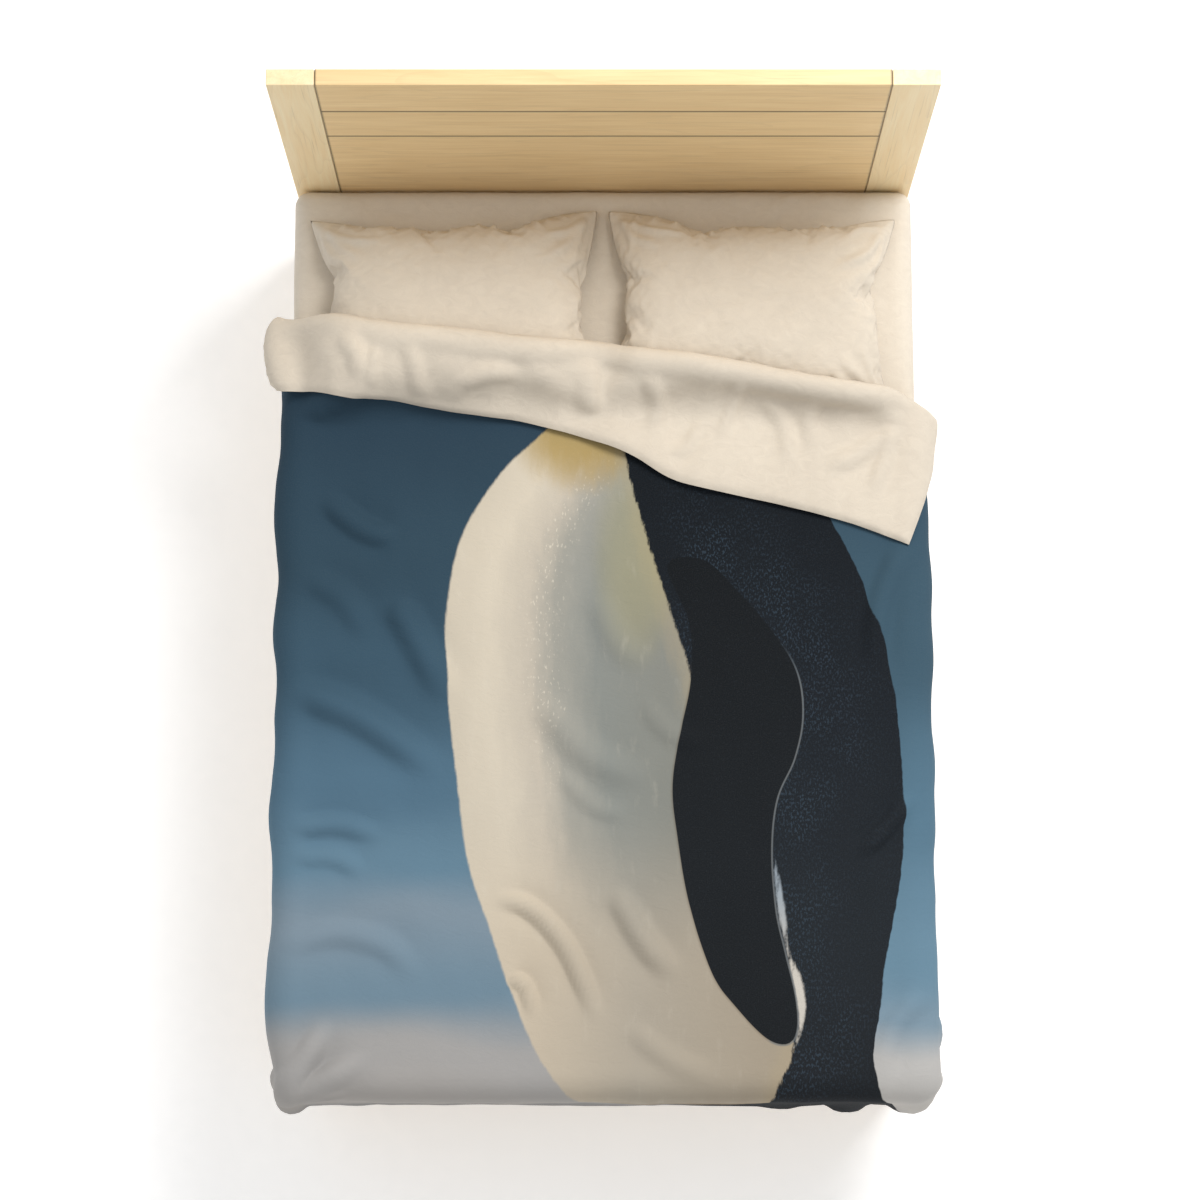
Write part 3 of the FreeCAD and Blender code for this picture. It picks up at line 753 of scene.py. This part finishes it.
def folded(x, y):
    """Where flat points start: flat on the bed, up onto the pillows, and turned over at the fold."""
    along, r = fold_frame(x, y)
    climb = smoothstep(-RAMP, 0.0, np.minimum(r, 0))
    half_round = math.pi * FOLD_R
    angle = np.clip(r, 0, half_round) / FOLD_R
    back = np.maximum(r - half_round, 0) / (fold_frame(x, HEAD_HEM)[1] - half_round)
    along = along - FLAP_CORNER * back * smoothstep(0.45, 0.80, along)
    back = back * read_off(FLAP_DEPTH, along)
    out = np.where(r < 0, r, FOLD_R * np.sin(angle) - back)
    climb = np.where(r < 0, climb, smoothstep(-RAMP, 0.0, -back))
    z = REST + RAMP_RISE * climb + np.where(r < 0, 0.0, FOLD_R * (1 - np.cos(angle)))
    c, s = math.cos(FOLD_ANGLE), math.sin(FOLD_ANGLE)
    out = out + read_off(FOLD_BOW, along)
    return np.stack([along * c + out * s, FOLD_START - along * s + out * c, z], axis=-1)


def surface_heights(objects, spacing=0.012):
    """Height of the highest of these objects over a plan grid, as (x levels, y levels, heights)."""
    xs = np.arange(-0.72, 0.72, spacing)
    ys = np.arange(0.40, 1.02, spacing)
    heights = np.full((len(ys), len(xs)), -1.0)
    for obj in objects:
        x, y, z = evaluated_points(obj).T
        i = np.clip(np.round((x - xs[0]) / spacing).astype(int), 0, len(xs) - 1)
        j = np.clip(np.round((y - ys[0]) / spacing).astype(int), 0, len(ys) - 1)
        np.maximum.at(heights, (j, i), z)
    return xs, ys, heights


def sample(levels_x, levels_y, values, x, y):
    """Bilinear value on a plan grid, held at its rim."""
    fx = np.clip((x - levels_x[0]) / (levels_x[1] - levels_x[0]), 0, len(levels_x) - 1.001)
    fy = np.clip((y - levels_y[0]) / (levels_y[1] - levels_y[0]), 0, len(levels_y) - 1.001)
    i, j = fx.astype(int), fy.astype(int)
    fx, fy = fx - i, fy - j
    near = values[j, i] * (1 - fx) + values[j, i + 1] * fx
    far = values[j + 1, i] * (1 - fx) + values[j + 1, i + 1] * fx
    return near * (1 - fy) + far * fy


def pair_slices():
    """Every pair of grid points that a constraint joins, in sets whose pairs share no point."""
    everything = slice(None)
    sets = []
    for first in (0, 1):  # along the rows and the columns
        sets.append(((everything, slice(first, -1, 2)), (everything, slice(first + 1, None, 2)), 1.0))
        sets.append(((slice(first, -1, 2), everything), (slice(first + 1, None, 2), everything), 1.0))
    for first in (0, 1):  # both diagonals
        low, high = slice(first, -1, 2), slice(first + 1, None, 2)
        sets.append(((low, slice(0, -1)), (high, slice(1, None)), 0.25))
        sets.append(((low, slice(1, None)), (high, slice(0, -1)), 0.25))
    for skip, stiffness in ((2, 0.25), (4, 0.12)):  # over several points, for bending
        for first in range(2 * skip):
            low, high = slice(first, -skip, 2 * skip), slice(first + skip, None, 2 * skip)
            sets.append(((everything, low), (everything, high), stiffness))
            sets.append(((low, everything), (high, everything), stiffness))
    return sets


def pull_together(points, sets, rests):
    """One pass of moving each joined pair back towards its rest length."""
    for (one, two, stiffness), rest in zip(sets, rests):
        a, b = points[one], points[two]
        count = [min(m, n) for m, n in zip(a.shape[:2], b.shape[:2])]
        a, b = a[: count[0], : count[1]], b[: count[0], : count[1]]
        gap = b - a
        length = np.sqrt(np.einsum("ijk,ijk->ij", gap, gap)) + 1e-9
        move = gap * (0.5 * stiffness * (length - rest) / length)[..., None]
        a += move
        b -= move


def off_the_mattress(points, clear):
    """Pushes points out of the rounded mattress block; returns which ones touched it."""
    low = np.array([MATTRESS_LO.x, MATTRESS_LO.y - FOOT_SLACK, MATTRESS_LO.z]) + SHEET_ROUND
    high = np.array([MATTRESS_HI.x, MATTRESS_HI.y, SHEET_TOP]) - SHEET_ROUND
    core = np.clip(points, low, high)
    out = points - core
    distance = np.linalg.norm(out, axis=2)
    wanted = SHEET_ROUND + clear
    touching = distance < wanted
    deep = distance < 1e-6
    out[deep] = (0, 0, 1)
    distance[deep] = 1.0
    points[touching] = (core + out * (wanted / distance)[..., None])[touching]
    return touching


def drape_duvet(pillows, steps, passes=7):
    """The middle surface of the duvet after it has settled on the bed, as rows of points.

    A cloth solver on the flat grid: gravity, stretch, shear and bending pairs, contact with the mattress,
    the pillows and the duvet's own lower layer, and friction."""
    nx = int(round(DUVET_W / DUVET_STEP)) + 1
    ny = int(round((HEAD_HEM - FOOT_HEM) / DUVET_STEP)) + 1
    x, y = np.meshgrid(np.linspace(-DUVET_W / 2, DUVET_W / 2, nx), np.linspace(FOOT_HEM, HEAD_HEM, ny))
    points = folded(x, y)
    sets = pair_slices()
    rests = []
    for one, two, _ in sets:
        a, b = points[one], points[two]
        rows, cols = min(a.shape[0], b.shape[0]), min(a.shape[1], b.shape[1])
        rests.append(np.linalg.norm(a[:rows, :cols] - b[:rows, :cols], axis=2))
    flat = np.column_stack([x.ravel(), y.ravel(), np.zeros(x.size)])
    slack = 1 + (0.022 * field(flat, 0.24, 7)
                 + 0.016 * field(flat * (1, 2.2, 1), 0.13, 8)).reshape(x.shape)
    gathered = smoothstep(0, 0.05, abs(x) - HALF_MATTRESS) * smoothstep(0, 0.05, FOOT_EDGE - y)
    slack -= 0.55 * gathered  # the foot corners are drawn in, as by the hand that made the bed
    rests = [rest * slack[one][: rest.shape[0], : rest.shape[1]] for (one, _, _), rest in zip(sets, rests)]
    _, r = fold_frame(x, y)
    flap = r > math.pi * FOLD_R * 0.75
    # the flap's ends stand off more
    flares = np.where(x > 0, smoothstep(-0.06, 0.0, r), smoothstep(0.0, 0.09, r))
    px, py, heights = surface_heights(pillows)
    level_y = np.linspace(0.0, 0.75, 60)
    gravity = np.array([0, 0, -9.81])
    dt = 1 / 100
    friction = 0.75  # share of a held point's sliding that is undone
    before = points.copy()
    for step in range(steps):
        opening = max(0.0, 1 - step / (0.55 * steps))  # room that the hanging edges may still flare into
        velocity = (points - before) * (0.985 if step < steps * 0.6 else 0.90)
        before = points.copy()
        points = points + velocity + gravity * dt * dt
        columns = [points[r[:, i] < 0, i] for i in range(nx)]
        under = np.stack([np.interp(level_y, column[:, 1], column[:, 2]) for column in columns], axis=1)
        for number in range(passes):
            pull_together(points, sets, rests)
            if number % 2 == 0:
                touching = off_the_mattress(points, np.where(flap, 3 * HALF_T, HALF_T) + 1 * MM)
                floor = sample(px, py, heights, points[..., 0], points[..., 1]) + HALF_T + 1 * MM
                pillowed = (points[..., 2] < floor) & (points[..., 2] > floor - 0.06)
                points[..., 2] = np.where(pillowed, floor, points[..., 2])
                rest_on = sample(x[0], level_y, under, points[..., 0], points[..., 1]) + 2 * HALF_T
                layered = flap & (points[..., 2] < rest_on) & (abs(points[..., 0]) < 0.78)
                points[..., 2] = np.where(layered, rest_on, points[..., 2])
                reach = HALF_MATTRESS + SIDE_HANG + FLARE * flares + 0.08 * opening
                points[..., 0] = np.clip(points[..., 0], -reach, reach)
                points[..., 1] = np.maximum(points[..., 1], FOOT_EDGE - FOOT_HANG - 0.2 * opening)
        held = touching | pillowed | layered
        slide = points[..., :2] - before[..., :2]
        points[..., :2] -= np.where(held[..., None], friction * slide, 0.0)
    at_ends = smoothstep(0.66, 0.74, abs(x)) * np.exp(-((r - math.pi * FOLD_R / 2) / 0.07) ** 2)
    at_corners = smoothstep(-0.03, 0.03, abs(x) - HALF_MATTRESS) * smoothstep(-0.03, 0.03, FOOT_EDGE - y)
    return eased(points, np.maximum(at_ends, at_corners))


def eased(points, weight, passes=5):
    """The surface smoothed where weight is above 0, as at the fold's ends and the foot corners."""
    for _ in range(passes):
        ends = np.pad(points, ((1, 1), (1, 1), (0, 0)), mode="edge")
        mean = (ends[:-2, 1:-1] + ends[2:, 1:-1] + ends[1:-1, :-2] + ends[1:-1, 2:]) / 4
        points = points + (mean - points) * weight[..., None]
    return points


def doubled(rows):
    """A grid with a point added between each two, along both directions, on smooth cubic curves."""
    for axis in (0, 1):
        rows = np.moveaxis(rows, axis, 0)
        ends = np.concatenate([2 * rows[:1] - rows[1:2], rows, 2 * rows[-1:] - rows[-2:-1]])
        between = (9 * (ends[1:-2] + ends[2:-1]) - ends[:-3] - ends[3:]) / 16
        kept = (ends[:-2] + 6 * ends[1:-1] + ends[2:]) / 8
        out = np.empty((2 * len(rows) - 1, *rows.shape[1:]))
        out[0::2], out[1::2] = kept, between
        rows = np.moveaxis(out, 0, axis)
    return rows


def grid_normals(rows):
    du = np.gradient(rows, axis=1)
    dv = np.gradient(rows, axis=0)
    normal = np.cross(du, dv)
    return normal / np.maximum(np.linalg.norm(normal, axis=2, keepdims=True), 1e-12)


BED_FOLD_GAIN, FLAP_FOLD_GAIN = 1.9, 1.7
BED_FOLDS = [  # (points, half width, height in mm)
    ([(-0.70, -1.03), (-0.63, -0.93), (-0.575, -0.83)], 0.022, 16),
    ([(-0.70, -1.03), (-0.60, -0.97), (-0.48, -0.91)], 0.020, 16),
    ([(-0.66, -1.04), (-0.60, -1.00), (-0.53, -0.99)], 0.016, 10),
    ([(-0.46, 0.07), (-0.40, -0.03), (-0.33, -0.17)], 0.030, 16),
    ([(-0.68, -0.13), (-0.52, -0.20), (-0.33, -0.33)], 0.032, 19),
    ([(-0.67, -0.44), (-0.57, -0.43), (-0.46, -0.46)], 0.018, 10),
    ([(-0.67, -0.50), (-0.58, -0.50), (-0.50, -0.54)], 0.018, 8),
    ([(-0.24, -0.58), (-0.16, -0.60), (-0.09, -0.67), (-0.04, -0.77), (-0.01, -0.86)], 0.016, 14),
    ([(-0.20, -0.75), (-0.165, -0.77), (-0.145, -0.84)], 0.012, 10),
    ([(0.02, -0.55), (0.08, -0.66), (0.16, -0.76)], 0.024, 14),
    ([(-0.15, -0.13), (-0.03, -0.27), (0.12, -0.33)], 0.032, 9),
    ([(-0.02, 0.10), (0.03, -0.02), (0.10, -0.08)], 0.030, 6),
    ([(0.04, -0.84), (0.14, -0.92), (0.25, -0.96)], 0.022, 6),
    ([(0.54, -0.50), (0.61, -0.43), (0.66, -0.36)], 0.016, 11),
    ([(0.08, -0.14), (0.14, -0.22), (0.24, -0.25)], 0.020, 5),
    ([(0.66, 0.20), (0.60, 0.05), (0.58, -0.12)], 0.024, 11),
    ([(0.68, -0.78), (0.61, -0.86), (0.57, -0.98)], 0.022, 8),
    ([(-0.62, 0.30), (-0.52, 0.22), (-0.44, 0.20)], 0.022, 13),
    ([(-0.69, -0.70), (-0.58, -0.66), (-0.46, -0.69), (-0.38, -0.78)], 0.024, 9),
    ([(-0.66, 0.12), (-0.56, 0.06), (-0.50, -0.04)], 0.026, 9),
    ([(-0.10, -0.30), (-0.02, -0.38), (0.06, -0.40)], 0.018, 5),
]
FLAP_FOLDS = [  # (along the fold, past it) on the turned-down flap
    ([(-0.60, 0.07), (-0.555, 0.11), (-0.53, 0.17)], 0.020, 11),
    ([(-0.515, 0.09), (-0.512, 0.18)], 0.012, 7),
    ([(-0.33, 0.15), (-0.25, 0.12), (-0.17, 0.13)], 0.018, 8),
    ([(-0.04, 0.06), (-0.03, 0.14), (0.0, 0.21)], 0.028, 10),
    ([(0.31, 0.06), (0.30, 0.12), (0.275, 0.20)], 0.014, 8),
    ([(0.17, 0.22), (0.21, 0.20), (0.24, 0.15)], 0.010, 6),
    ([(0.52, 0.23), (0.60, 0.19), (0.67, 0.12)], 0.020, 10),
    ([(0.66, 0.10), (0.655, 0.20), (0.64, 0.29)], 0.016, 8),
    ([(0.36, 0.10), (0.42, 0.16), (0.44, 0.24)], 0.016, 7),
    ([(0.48, 0.07), (0.47, 0.14), (0.50, 0.20)], 0.018, 7),
    ([(0.10, 0.08), (0.13, 0.15), (0.12, 0.21)], 0.018, 8),
    ([(-0.45, 0.07), (-0.42, 0.13), (-0.40, 0.19)], 0.016, 7),
]


def shape_details(x, y):
    """How far the duvet's surface is pushed out by small folds, and how thick it is, at flat points."""
    along, r = fold_frame(x, y)
    push = BED_FOLD_GAIN * creases(BED_FOLDS, x, y) - FLAP_FOLD_GAIN * creases(FLAP_FOLDS, along, r)
    flat = np.column_stack([x.ravel(), y.ravel(), np.zeros(x.size)])

    def unrest(stretch, scale, seed):
        return field(flat * stretch, scale, seed).reshape(x.shape)

    push += (4.0 * unrest((1, 1, 1), 0.16, 11) + 2.0 * unrest((1.0, 0.5, 1.0), 0.06, 12)) * MM
    foot, head = y - FOOT_HEM, HEAD_HEM - y
    edge = np.minimum(np.minimum(DUVET_W / 2 - abs(x), foot), head)
    flap = smoothstep(0.05, 0.12, r)
    slack = 3.5 * unrest((1.0, 0.45, 0), 0.075, 14) + 6.0 * unrest((1.0, 0.8, 0), 0.17, 15) - 2.0
    push += slack * MM * flap
    hanging = smoothstep(0.60, 0.72, abs(x)) * (1 - smoothstep(-0.12, -0.02, r))
    push += (7.0 + 14.0 * unrest((0.1, 1.0, 0), 0.13, 16)) * MM * hanging
    puckered = smoothstep(0.0, 0.01, head) * (1 - smoothstep(0.02, 0.09, head))
    push += 2.2 * MM * unrest((30.0, 4.0, 0), 1.0, 13) * puckered
    half = HALF_T * (1 - 0.22 * smoothstep(-0.25, -0.05, r))
    half = half * np.sqrt(np.clip(1 - (1 - np.clip(edge / 0.022, 0, 1)) ** 2, 0, 1))
    return push, half


PENGUIN = {"back": [
    (0.02, 0.62), (0.16, 0.60), (0.34, 0.47), (0.46, 0.31), (0.56, 0.11), (0.625, -0.10), (0.655, -0.30),
    (0.665, -0.47), (0.655, -0.60), (0.635, -0.72), (0.62, -0.86), (0.61, -0.95), (0.625, -1.01),
    (0.67, -1.08), (0.70, -1.25), (0.18, -1.25), (0.32, -1.08), (0.38, -0.95), (0.30, -0.60),
    (0.10, -0.20), (0.00, 0.20),
], "belly": [
    (-0.04, 0.56), (-0.12, 0.45), (-0.20, 0.38), (-0.26, 0.30), (-0.31, 0.20), (-0.335, 0.08),
    (-0.342, -0.06), (-0.330, -0.21), (-0.312, -0.36), (-0.290, -0.52), (-0.240, -0.67), (-0.195, -0.80),
    (-0.130, -0.94), (-0.060, -1.02), (0.03, -1.09), (0.20, -1.16), (0.35, -1.10), (0.40, -1.00),
    (0.43, -0.92), (0.40, -0.74), (0.30, -0.45), (0.21, -0.20), (0.188, -0.09), (0.138, 0.07),
    (0.10, 0.20), (0.065, 0.33), (0.03, 0.46),
], "flipper": [
    (0.14, 0.15), (0.185, 0.02), (0.190, -0.11), (0.170, -0.23), (0.156, -0.35), (0.168, -0.46),
    (0.200, -0.62), (0.250, -0.76), (0.310, -0.84), (0.375, -0.902), (0.420, -0.912), (0.438, -0.88),
    (0.433, -0.81), (0.410, -0.72), (0.385, -0.62), (0.374, -0.50), (0.382, -0.38), (0.418, -0.29),
    (0.434, -0.20), (0.420, -0.10), (0.370, -0.01), (0.30, 0.08), (0.22, 0.16),
], "sliver": [
    (0.372, -0.46), (0.374, -0.52), (0.385, -0.62), (0.410, -0.72), (0.436, -0.86), (0.425, -0.93),
    (0.450, -0.90), (0.463, -0.83), (0.452, -0.77), (0.430, -0.725), (0.421, -0.69), (0.415, -0.63),
    (0.400, -0.56), (0.384, -0.50),
]}


def drawn(outline):
    """The outline as printed: it narrows a little and shortens towards the foot."""
    return [(x - 0.05 * (x + 0.25) * min(max(-y, 0), 1), y * (0.975 if y < 0 else 1)) for x, y in outline]


def penguin_print(name):
    """The printed panel: a penguin before soft sky and snow, coloured from distances to its outlines."""
    n = Nodes(name)
    x, y = n.attribute("flat_x"), n.attribute("flat_y")
    back, belly, flipper, sliver = (n.attribute("penguin_" + part) for part in PENGUIN)
    across = n.attribute("belly_across")
    flat = n.add("ShaderNodeCombineXYZ", {"X": x, "Y": y, "Z": 0.0}).outputs[0]

    # sky to snow: out of focus, so broad ramps bent by broad noise
    cloud = n.noise(n.mapped((1.0, 2.2, 1.0), space=flat), 1.5, 2.0)
    lie = n.plus(y, n.swing(cloud, 0.16))
    depth = n.add("ShaderNodeMapRange", {"Value": lie, "From Min": -1.15, "From Max": 0.45}).outputs[0]
    left = n.ramp(depth, [(0.0, (140, 138, 136)), (0.07, (168, 163, 158)), (0.15, (164, 162, 160)),
                          (0.22, (112, 136, 152)), (0.32, (126, 143, 156)), (0.39, (98, 128, 147)),
                          (0.50, (80, 110, 130)), (0.66, (58, 84, 101)), (0.82, (48, 71, 86)),
                          (1.0, (42, 63, 78))], "EASE")
    right = n.ramp(depth, [(0.0, (176, 173, 170)), (0.06, (194, 190, 184)), (0.13, (184, 182, 179)),
                           (0.20, (124, 146, 161)), (0.27, (104, 135, 154)), (0.46, (84, 115, 134)),
                           (0.70, (60, 85, 100)), (1.0, (50, 73, 88))], "EASE")
    colour = n.mix(n.range(x, 0.1, 0.6), left, right)

    # dark back with rows of small light feather tips
    tips = n.noise(n.mapped((1.0, 0.55, 1.0), space=flat), 250.0, 1.0, 0.6)
    patch = n.noise(flat, 9.0, 3.0)
    plume = n.ramp(depth, [(0.0, (28, 31, 35)), (0.3, (32, 37, 42)), (0.6, (24, 29, 35)),
                           (1.0, (12, 18, 24))])
    beside = n.times(n.range(flipper, -0.20, -0.05), n.range(x, 0.10, 0.24))
    spark = n.times(n.range(tips, 0.50, 0.66), n.range(patch, 0.35, 0.65, 0.3, 1.0))
    spark = n.times(spark, n.plus(n.times(beside, 0.24), 0.05))
    plume = n.mix(spark, plume, (74, 94, 112))
    fluff = n.noise(n.mapped((1.0, 0.5, 1.0), space=flat), 60.0, 3.0)
    back_edge = n.plus(back, n.swing(fluff, 0.007))
    colour = n.mix(n.range(back_edge, -0.0015, 0.0015), colour, plume)

    # pale belly: lit along its left side, cooler in the middle, warm low down, with a yellow upper chest
    # whose yellow is darkened as a painted shadow of the turned-down flap
    down = n.noise(n.mapped((1.0, 0.30, 1.0), space=flat), 34.0, 4.0, 0.6)
    inset = n.plus(belly, n.swing(down, 0.05))
    rim = n.plus(n.times(across, 2.2), n.swing(down, 0.16))
    white = n.ramp(rim, [(0.0, (202, 192, 174)), (0.20, (208, 198, 180)), (0.38, (192, 183, 168)),
                         (0.52, (158, 156, 147)), (0.72, (136, 139, 134)), (1.0, (132, 133, 126))])
    flecks = n.noise(n.mapped((1.0, 0.45, 1.0), (3.0, 0, 0), flat), 190.0, 1.0)
    ridge = n.times(n.range(rim, 0.30, 0.44), n.range(rim, 0.60, 0.46))
    ridge = n.times(ridge, n.range(y, -0.45, -0.15))
    flecked = n.times(ridge, n.range(flecks, 0.62, 0.72, 0.0, 0.5))
    white = n.mix(flecked, white, (226, 218, 200))
    warm = n.ramp(n.times(n.plus(x, 0.36), 1.4), [(0.0, (216, 203, 182)), (0.3, (196, 183, 163)),
                                                  (0.6, (172, 163, 148)), (1.0, (164, 152, 134))])
    white = n.mix(n.range(y, -0.35, -0.75), white, warm)
    low = n.range(n.plus(y, n.times(down, 0.10)), -0.93, -1.06, 0.0, 0.65)
    white = n.mix(low, white, (140, 124, 104))
    shade = n.times(n.range(inset, 0.0, 0.05, 0.35, 0.0), n.range(x, -0.1, 0.15))
    white = n.mix(shade, white, (176, 160, 128))
    # the yellow upper chest, its colour darkened as a painted shadow of the flap lying over it
    chest_under_flap_shadow = n.plus(n.blob(x, y, (-0.05, 0.46), (38.0, 44.0)), n.swing(down, 0.5))
    white = n.mix(n.range(chest_under_flap_shadow, 1.2, 0.10, 0.0, 0.85), white, (164, 138, 74))
    blush = n.blob(x, y, (0.07, 0.16), (90.0, 14.0))
    white = n.mix(n.range(blush, 1.0, 0.0, 0.0, 0.35), white, (170, 160, 108))
    white = n.mix(n.range(down, 0.55, 0.8, 0.0, 0.12), white, (226, 218, 202))
    ragged = n.noise(n.mapped((1.0, 0.35, 1.0), (0, 0, 3.0), flat), 110.0, 3.0, 0.7)
    tufted = n.plus(belly, n.swing(ragged, n.range(x, -0.2, 0.1, 0.006, 0.018)))
    colour = n.mix(n.range(tufted, -0.0035, 0.0035), colour, white)

    # the pale edge behind the flipper, and the flipper over it
    strand = n.plus(sliver, n.swing(ragged, 0.010))
    down_white = n.mix(n.range(y, -0.55, -0.75), (150, 160, 168), (200, 194, 184))
    colour = n.mix(n.range(strand, 0.0025, 0.0095), colour, down_white)
    piping = n.times(n.range(flipper, -0.0045, -0.0025), n.range(x, 0.34, 0.36))
    piping = n.times(piping, n.range(y, -0.02, -0.14))
    colour = n.mix(n.times(piping, 0.6), colour, (120, 132, 140))
    outline = n.times(n.range(flipper, -0.006, 0.0), n.range(y, -0.05, -0.15))
    colour = n.mix(n.times(outline, 0.35), colour, (92, 76, 56))
    blade = n.ramp(depth, [(0.0, (24, 27, 30)), (0.4, (24, 28, 32)), (0.8, (16, 20, 24)),
                           (1.0, (12, 17, 21))])
    blade = n.mix(n.range(tips, 0.55, 0.8, 0.0, 0.20), blade, (46, 54, 62))
    colour = n.mix(n.range(flipper, -0.001, 0.001), colour, blade)

    thread = n.noise(flat, 420.0, 2.0)
    colour = n.mix(n.range(thread, 0.35, 0.75, 0.0, 0.03), colour, (150, 150, 148))
    normal, _ = cloth_bump(n, flat, 0.25)
    return n.finish(colour, normal, 0.85, Specular_IOR_Level=0.12)


def duvet_panel(name, points, x, y, flip):
    rows, cols = x.shape
    obj = mesh_object(name, points.reshape(-1, 3), grid_faces(rows, cols, flip=flip))
    attribute(obj, "flat_x", x)
    attribute(obj, "flat_y", y)
    return obj


def duvet(pillows, cream):
    """Printed face and plain reverse, offset from the settled middle surface and meeting at the seams."""
    middle = doubled(drape_duvet(pillows, steps=170))
    x = np.linspace(-DUVET_W / 2, DUVET_W / 2, middle.shape[1])[None, :].repeat(middle.shape[0], 0)
    y = np.linspace(FOOT_HEM, HEAD_HEM, middle.shape[0])[:, None].repeat(middle.shape[1], 1)
    push, half = shape_details(x, y)
    normal = grid_normals(middle)
    middle = middle + normal * push[..., None]
    normal = grid_normals(middle)  # again, for the pushed surface
    face = duvet_panel("duvet_face", middle + normal * half[..., None], x, y, False)
    under = middle - normal * half[..., None]
    reverse = duvet_panel("duvet_reverse", under, x, y, True)
    buttons(under, -normal)
    for part, outline in PENGUIN.items():
        attribute(face, "penguin_" + part, signed_distance(drawn(outline), x, y))
    attribute(face, "belly_across", x - left_side(drawn(PENGUIN["belly"]), y))
    give(face, penguin_print("penguin_print"))
    give(reverse, cream)
    for obj, slot, node in ((face, "printed_cotton", "duvet_cover_face"),
                            (reverse, "cream_cotton", "duvet_cover_reverse")):
        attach(obj, "duvet")
        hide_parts(node, "duvet_insert")


BUTTON_PROFILE = [(0.0, 0.0), (7.2, 0.0), (7.6, 0.6), (7.4, 2.2), (6.8, 2.8), (6.1, 2.6),
                  (5.4, 1.9), (0.0, 1.7)]  # (radius, height) in mm
BUTTON_COUNT = 7


def tube_faces(rings, spokes):
    faces = []
    for ring in range(rings - 1):
        for k in range(spokes):
            a, b = ring * spokes + k, ring * spokes + (k + 1) % spokes
            faces.append((a, b, b + spokes, a + spokes))
    return faces


def turned(profile, spokes=28):
    """Points and faces of a profile of (radius, height) turned round its own axis."""
    verts = []
    for radius, height in profile:
        for k in range(spokes):
            a = 2 * math.pi * k / spokes
            verts.append(Vector((radius * math.cos(a), radius * math.sin(a), height)) * MM)
    return verts, tube_faces(len(profile), spokes)


def thread_loop(angle):
    """A short sewn stitch over the middle of a button: a bent tube of nine rings."""
    rings, spokes = 9, 8
    verts = []
    for step in range(rings):
        t = -1 + step / 4
        centre = Vector((t * 2.6, 0, 1.5 + 0.9 * (1 - t * t)))
        for k in range(spokes):
            a = 2 * math.pi * k / spokes
            point = centre + Vector((0, 0.45 * math.cos(a), 0.45 * math.sin(a)))
            point.rotate(Matrix.Rotation(angle, 3, "Z"))
            verts.append(point * MM)
    return verts, tube_faces(rings, spokes)


def buttons(under, outwards):
    """The buttons that close the cover, sewn on its plain side along the foot hem."""
    verts, faces = [], []
    row = int(round(0.026 / (DUVET_STEP / 2)))
    shapes = [turned(BUTTON_PROFILE), thread_loop(math.pi / 4), thread_loop(-math.pi / 4)]
    for k in range(BUTTON_COUNT):
        col = int(round((0.16 + 0.68 * k / (BUTTON_COUNT - 1)) * (under.shape[1] - 1)))
        turn = Vector(outwards[row, col]).to_track_quat("Z", "Y").to_matrix()
        place = Vector(under[row, col])
        for points, quads in shapes:
            faces += [tuple(i + len(verts) for i in quad) for quad in quads]
            verts += [place + turn @ point for point in points]
    obj = mesh_object("duvet_cover_buttons", verts, faces)
    bm = bmesh.new()
    bm.from_mesh(obj.data)
    bmesh.ops.remove_doubles(bm, verts=bm.verts, dist=1e-6)
    bm.to_mesh(obj.data)
    bm.free()
    n = Nodes("button_shell")
    pearl = n.noise(n.mapped((1, 3, 1)), 220.0, 3.0, distortion=1.0)
    give(obj, n.finish(n.ramp(pearl, [(0.3, (222, 212, 192)), (0.7, (240, 234, 220))]),
                       n.bump(pearl, 0.1, 0.0002), n.range(pearl, 0.3, 0.7, 0.28, 0.40)))
    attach(obj, "duvet")
    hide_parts("duvet_buttons")


# ---- the bed ---------------------------------------------
def main():
    camera()
    studio()
    dress_frame()
    mattress()
    cream = cotton("cream_cotton", (220, 209, 192), (206, 195, 179))
    fitted_sheet(cotton("sheet_cotton", (226, 216, 200), (214, 203, 187)))
    pillows = []
    for hand, yaw, seed in (("left", 1.8, 5), ("right", -1.8, 6)):
        obj = pillow("pillow_" + hand + "_case", "pillowcase_" + hand, yaw, seed, cream)
        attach(obj, "pillow_" + hand)
        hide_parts("pillowcase_" + hand, "pillow_insert_" + hand)
        pillows.append(obj)
    duvet(pillows, cream)


main()
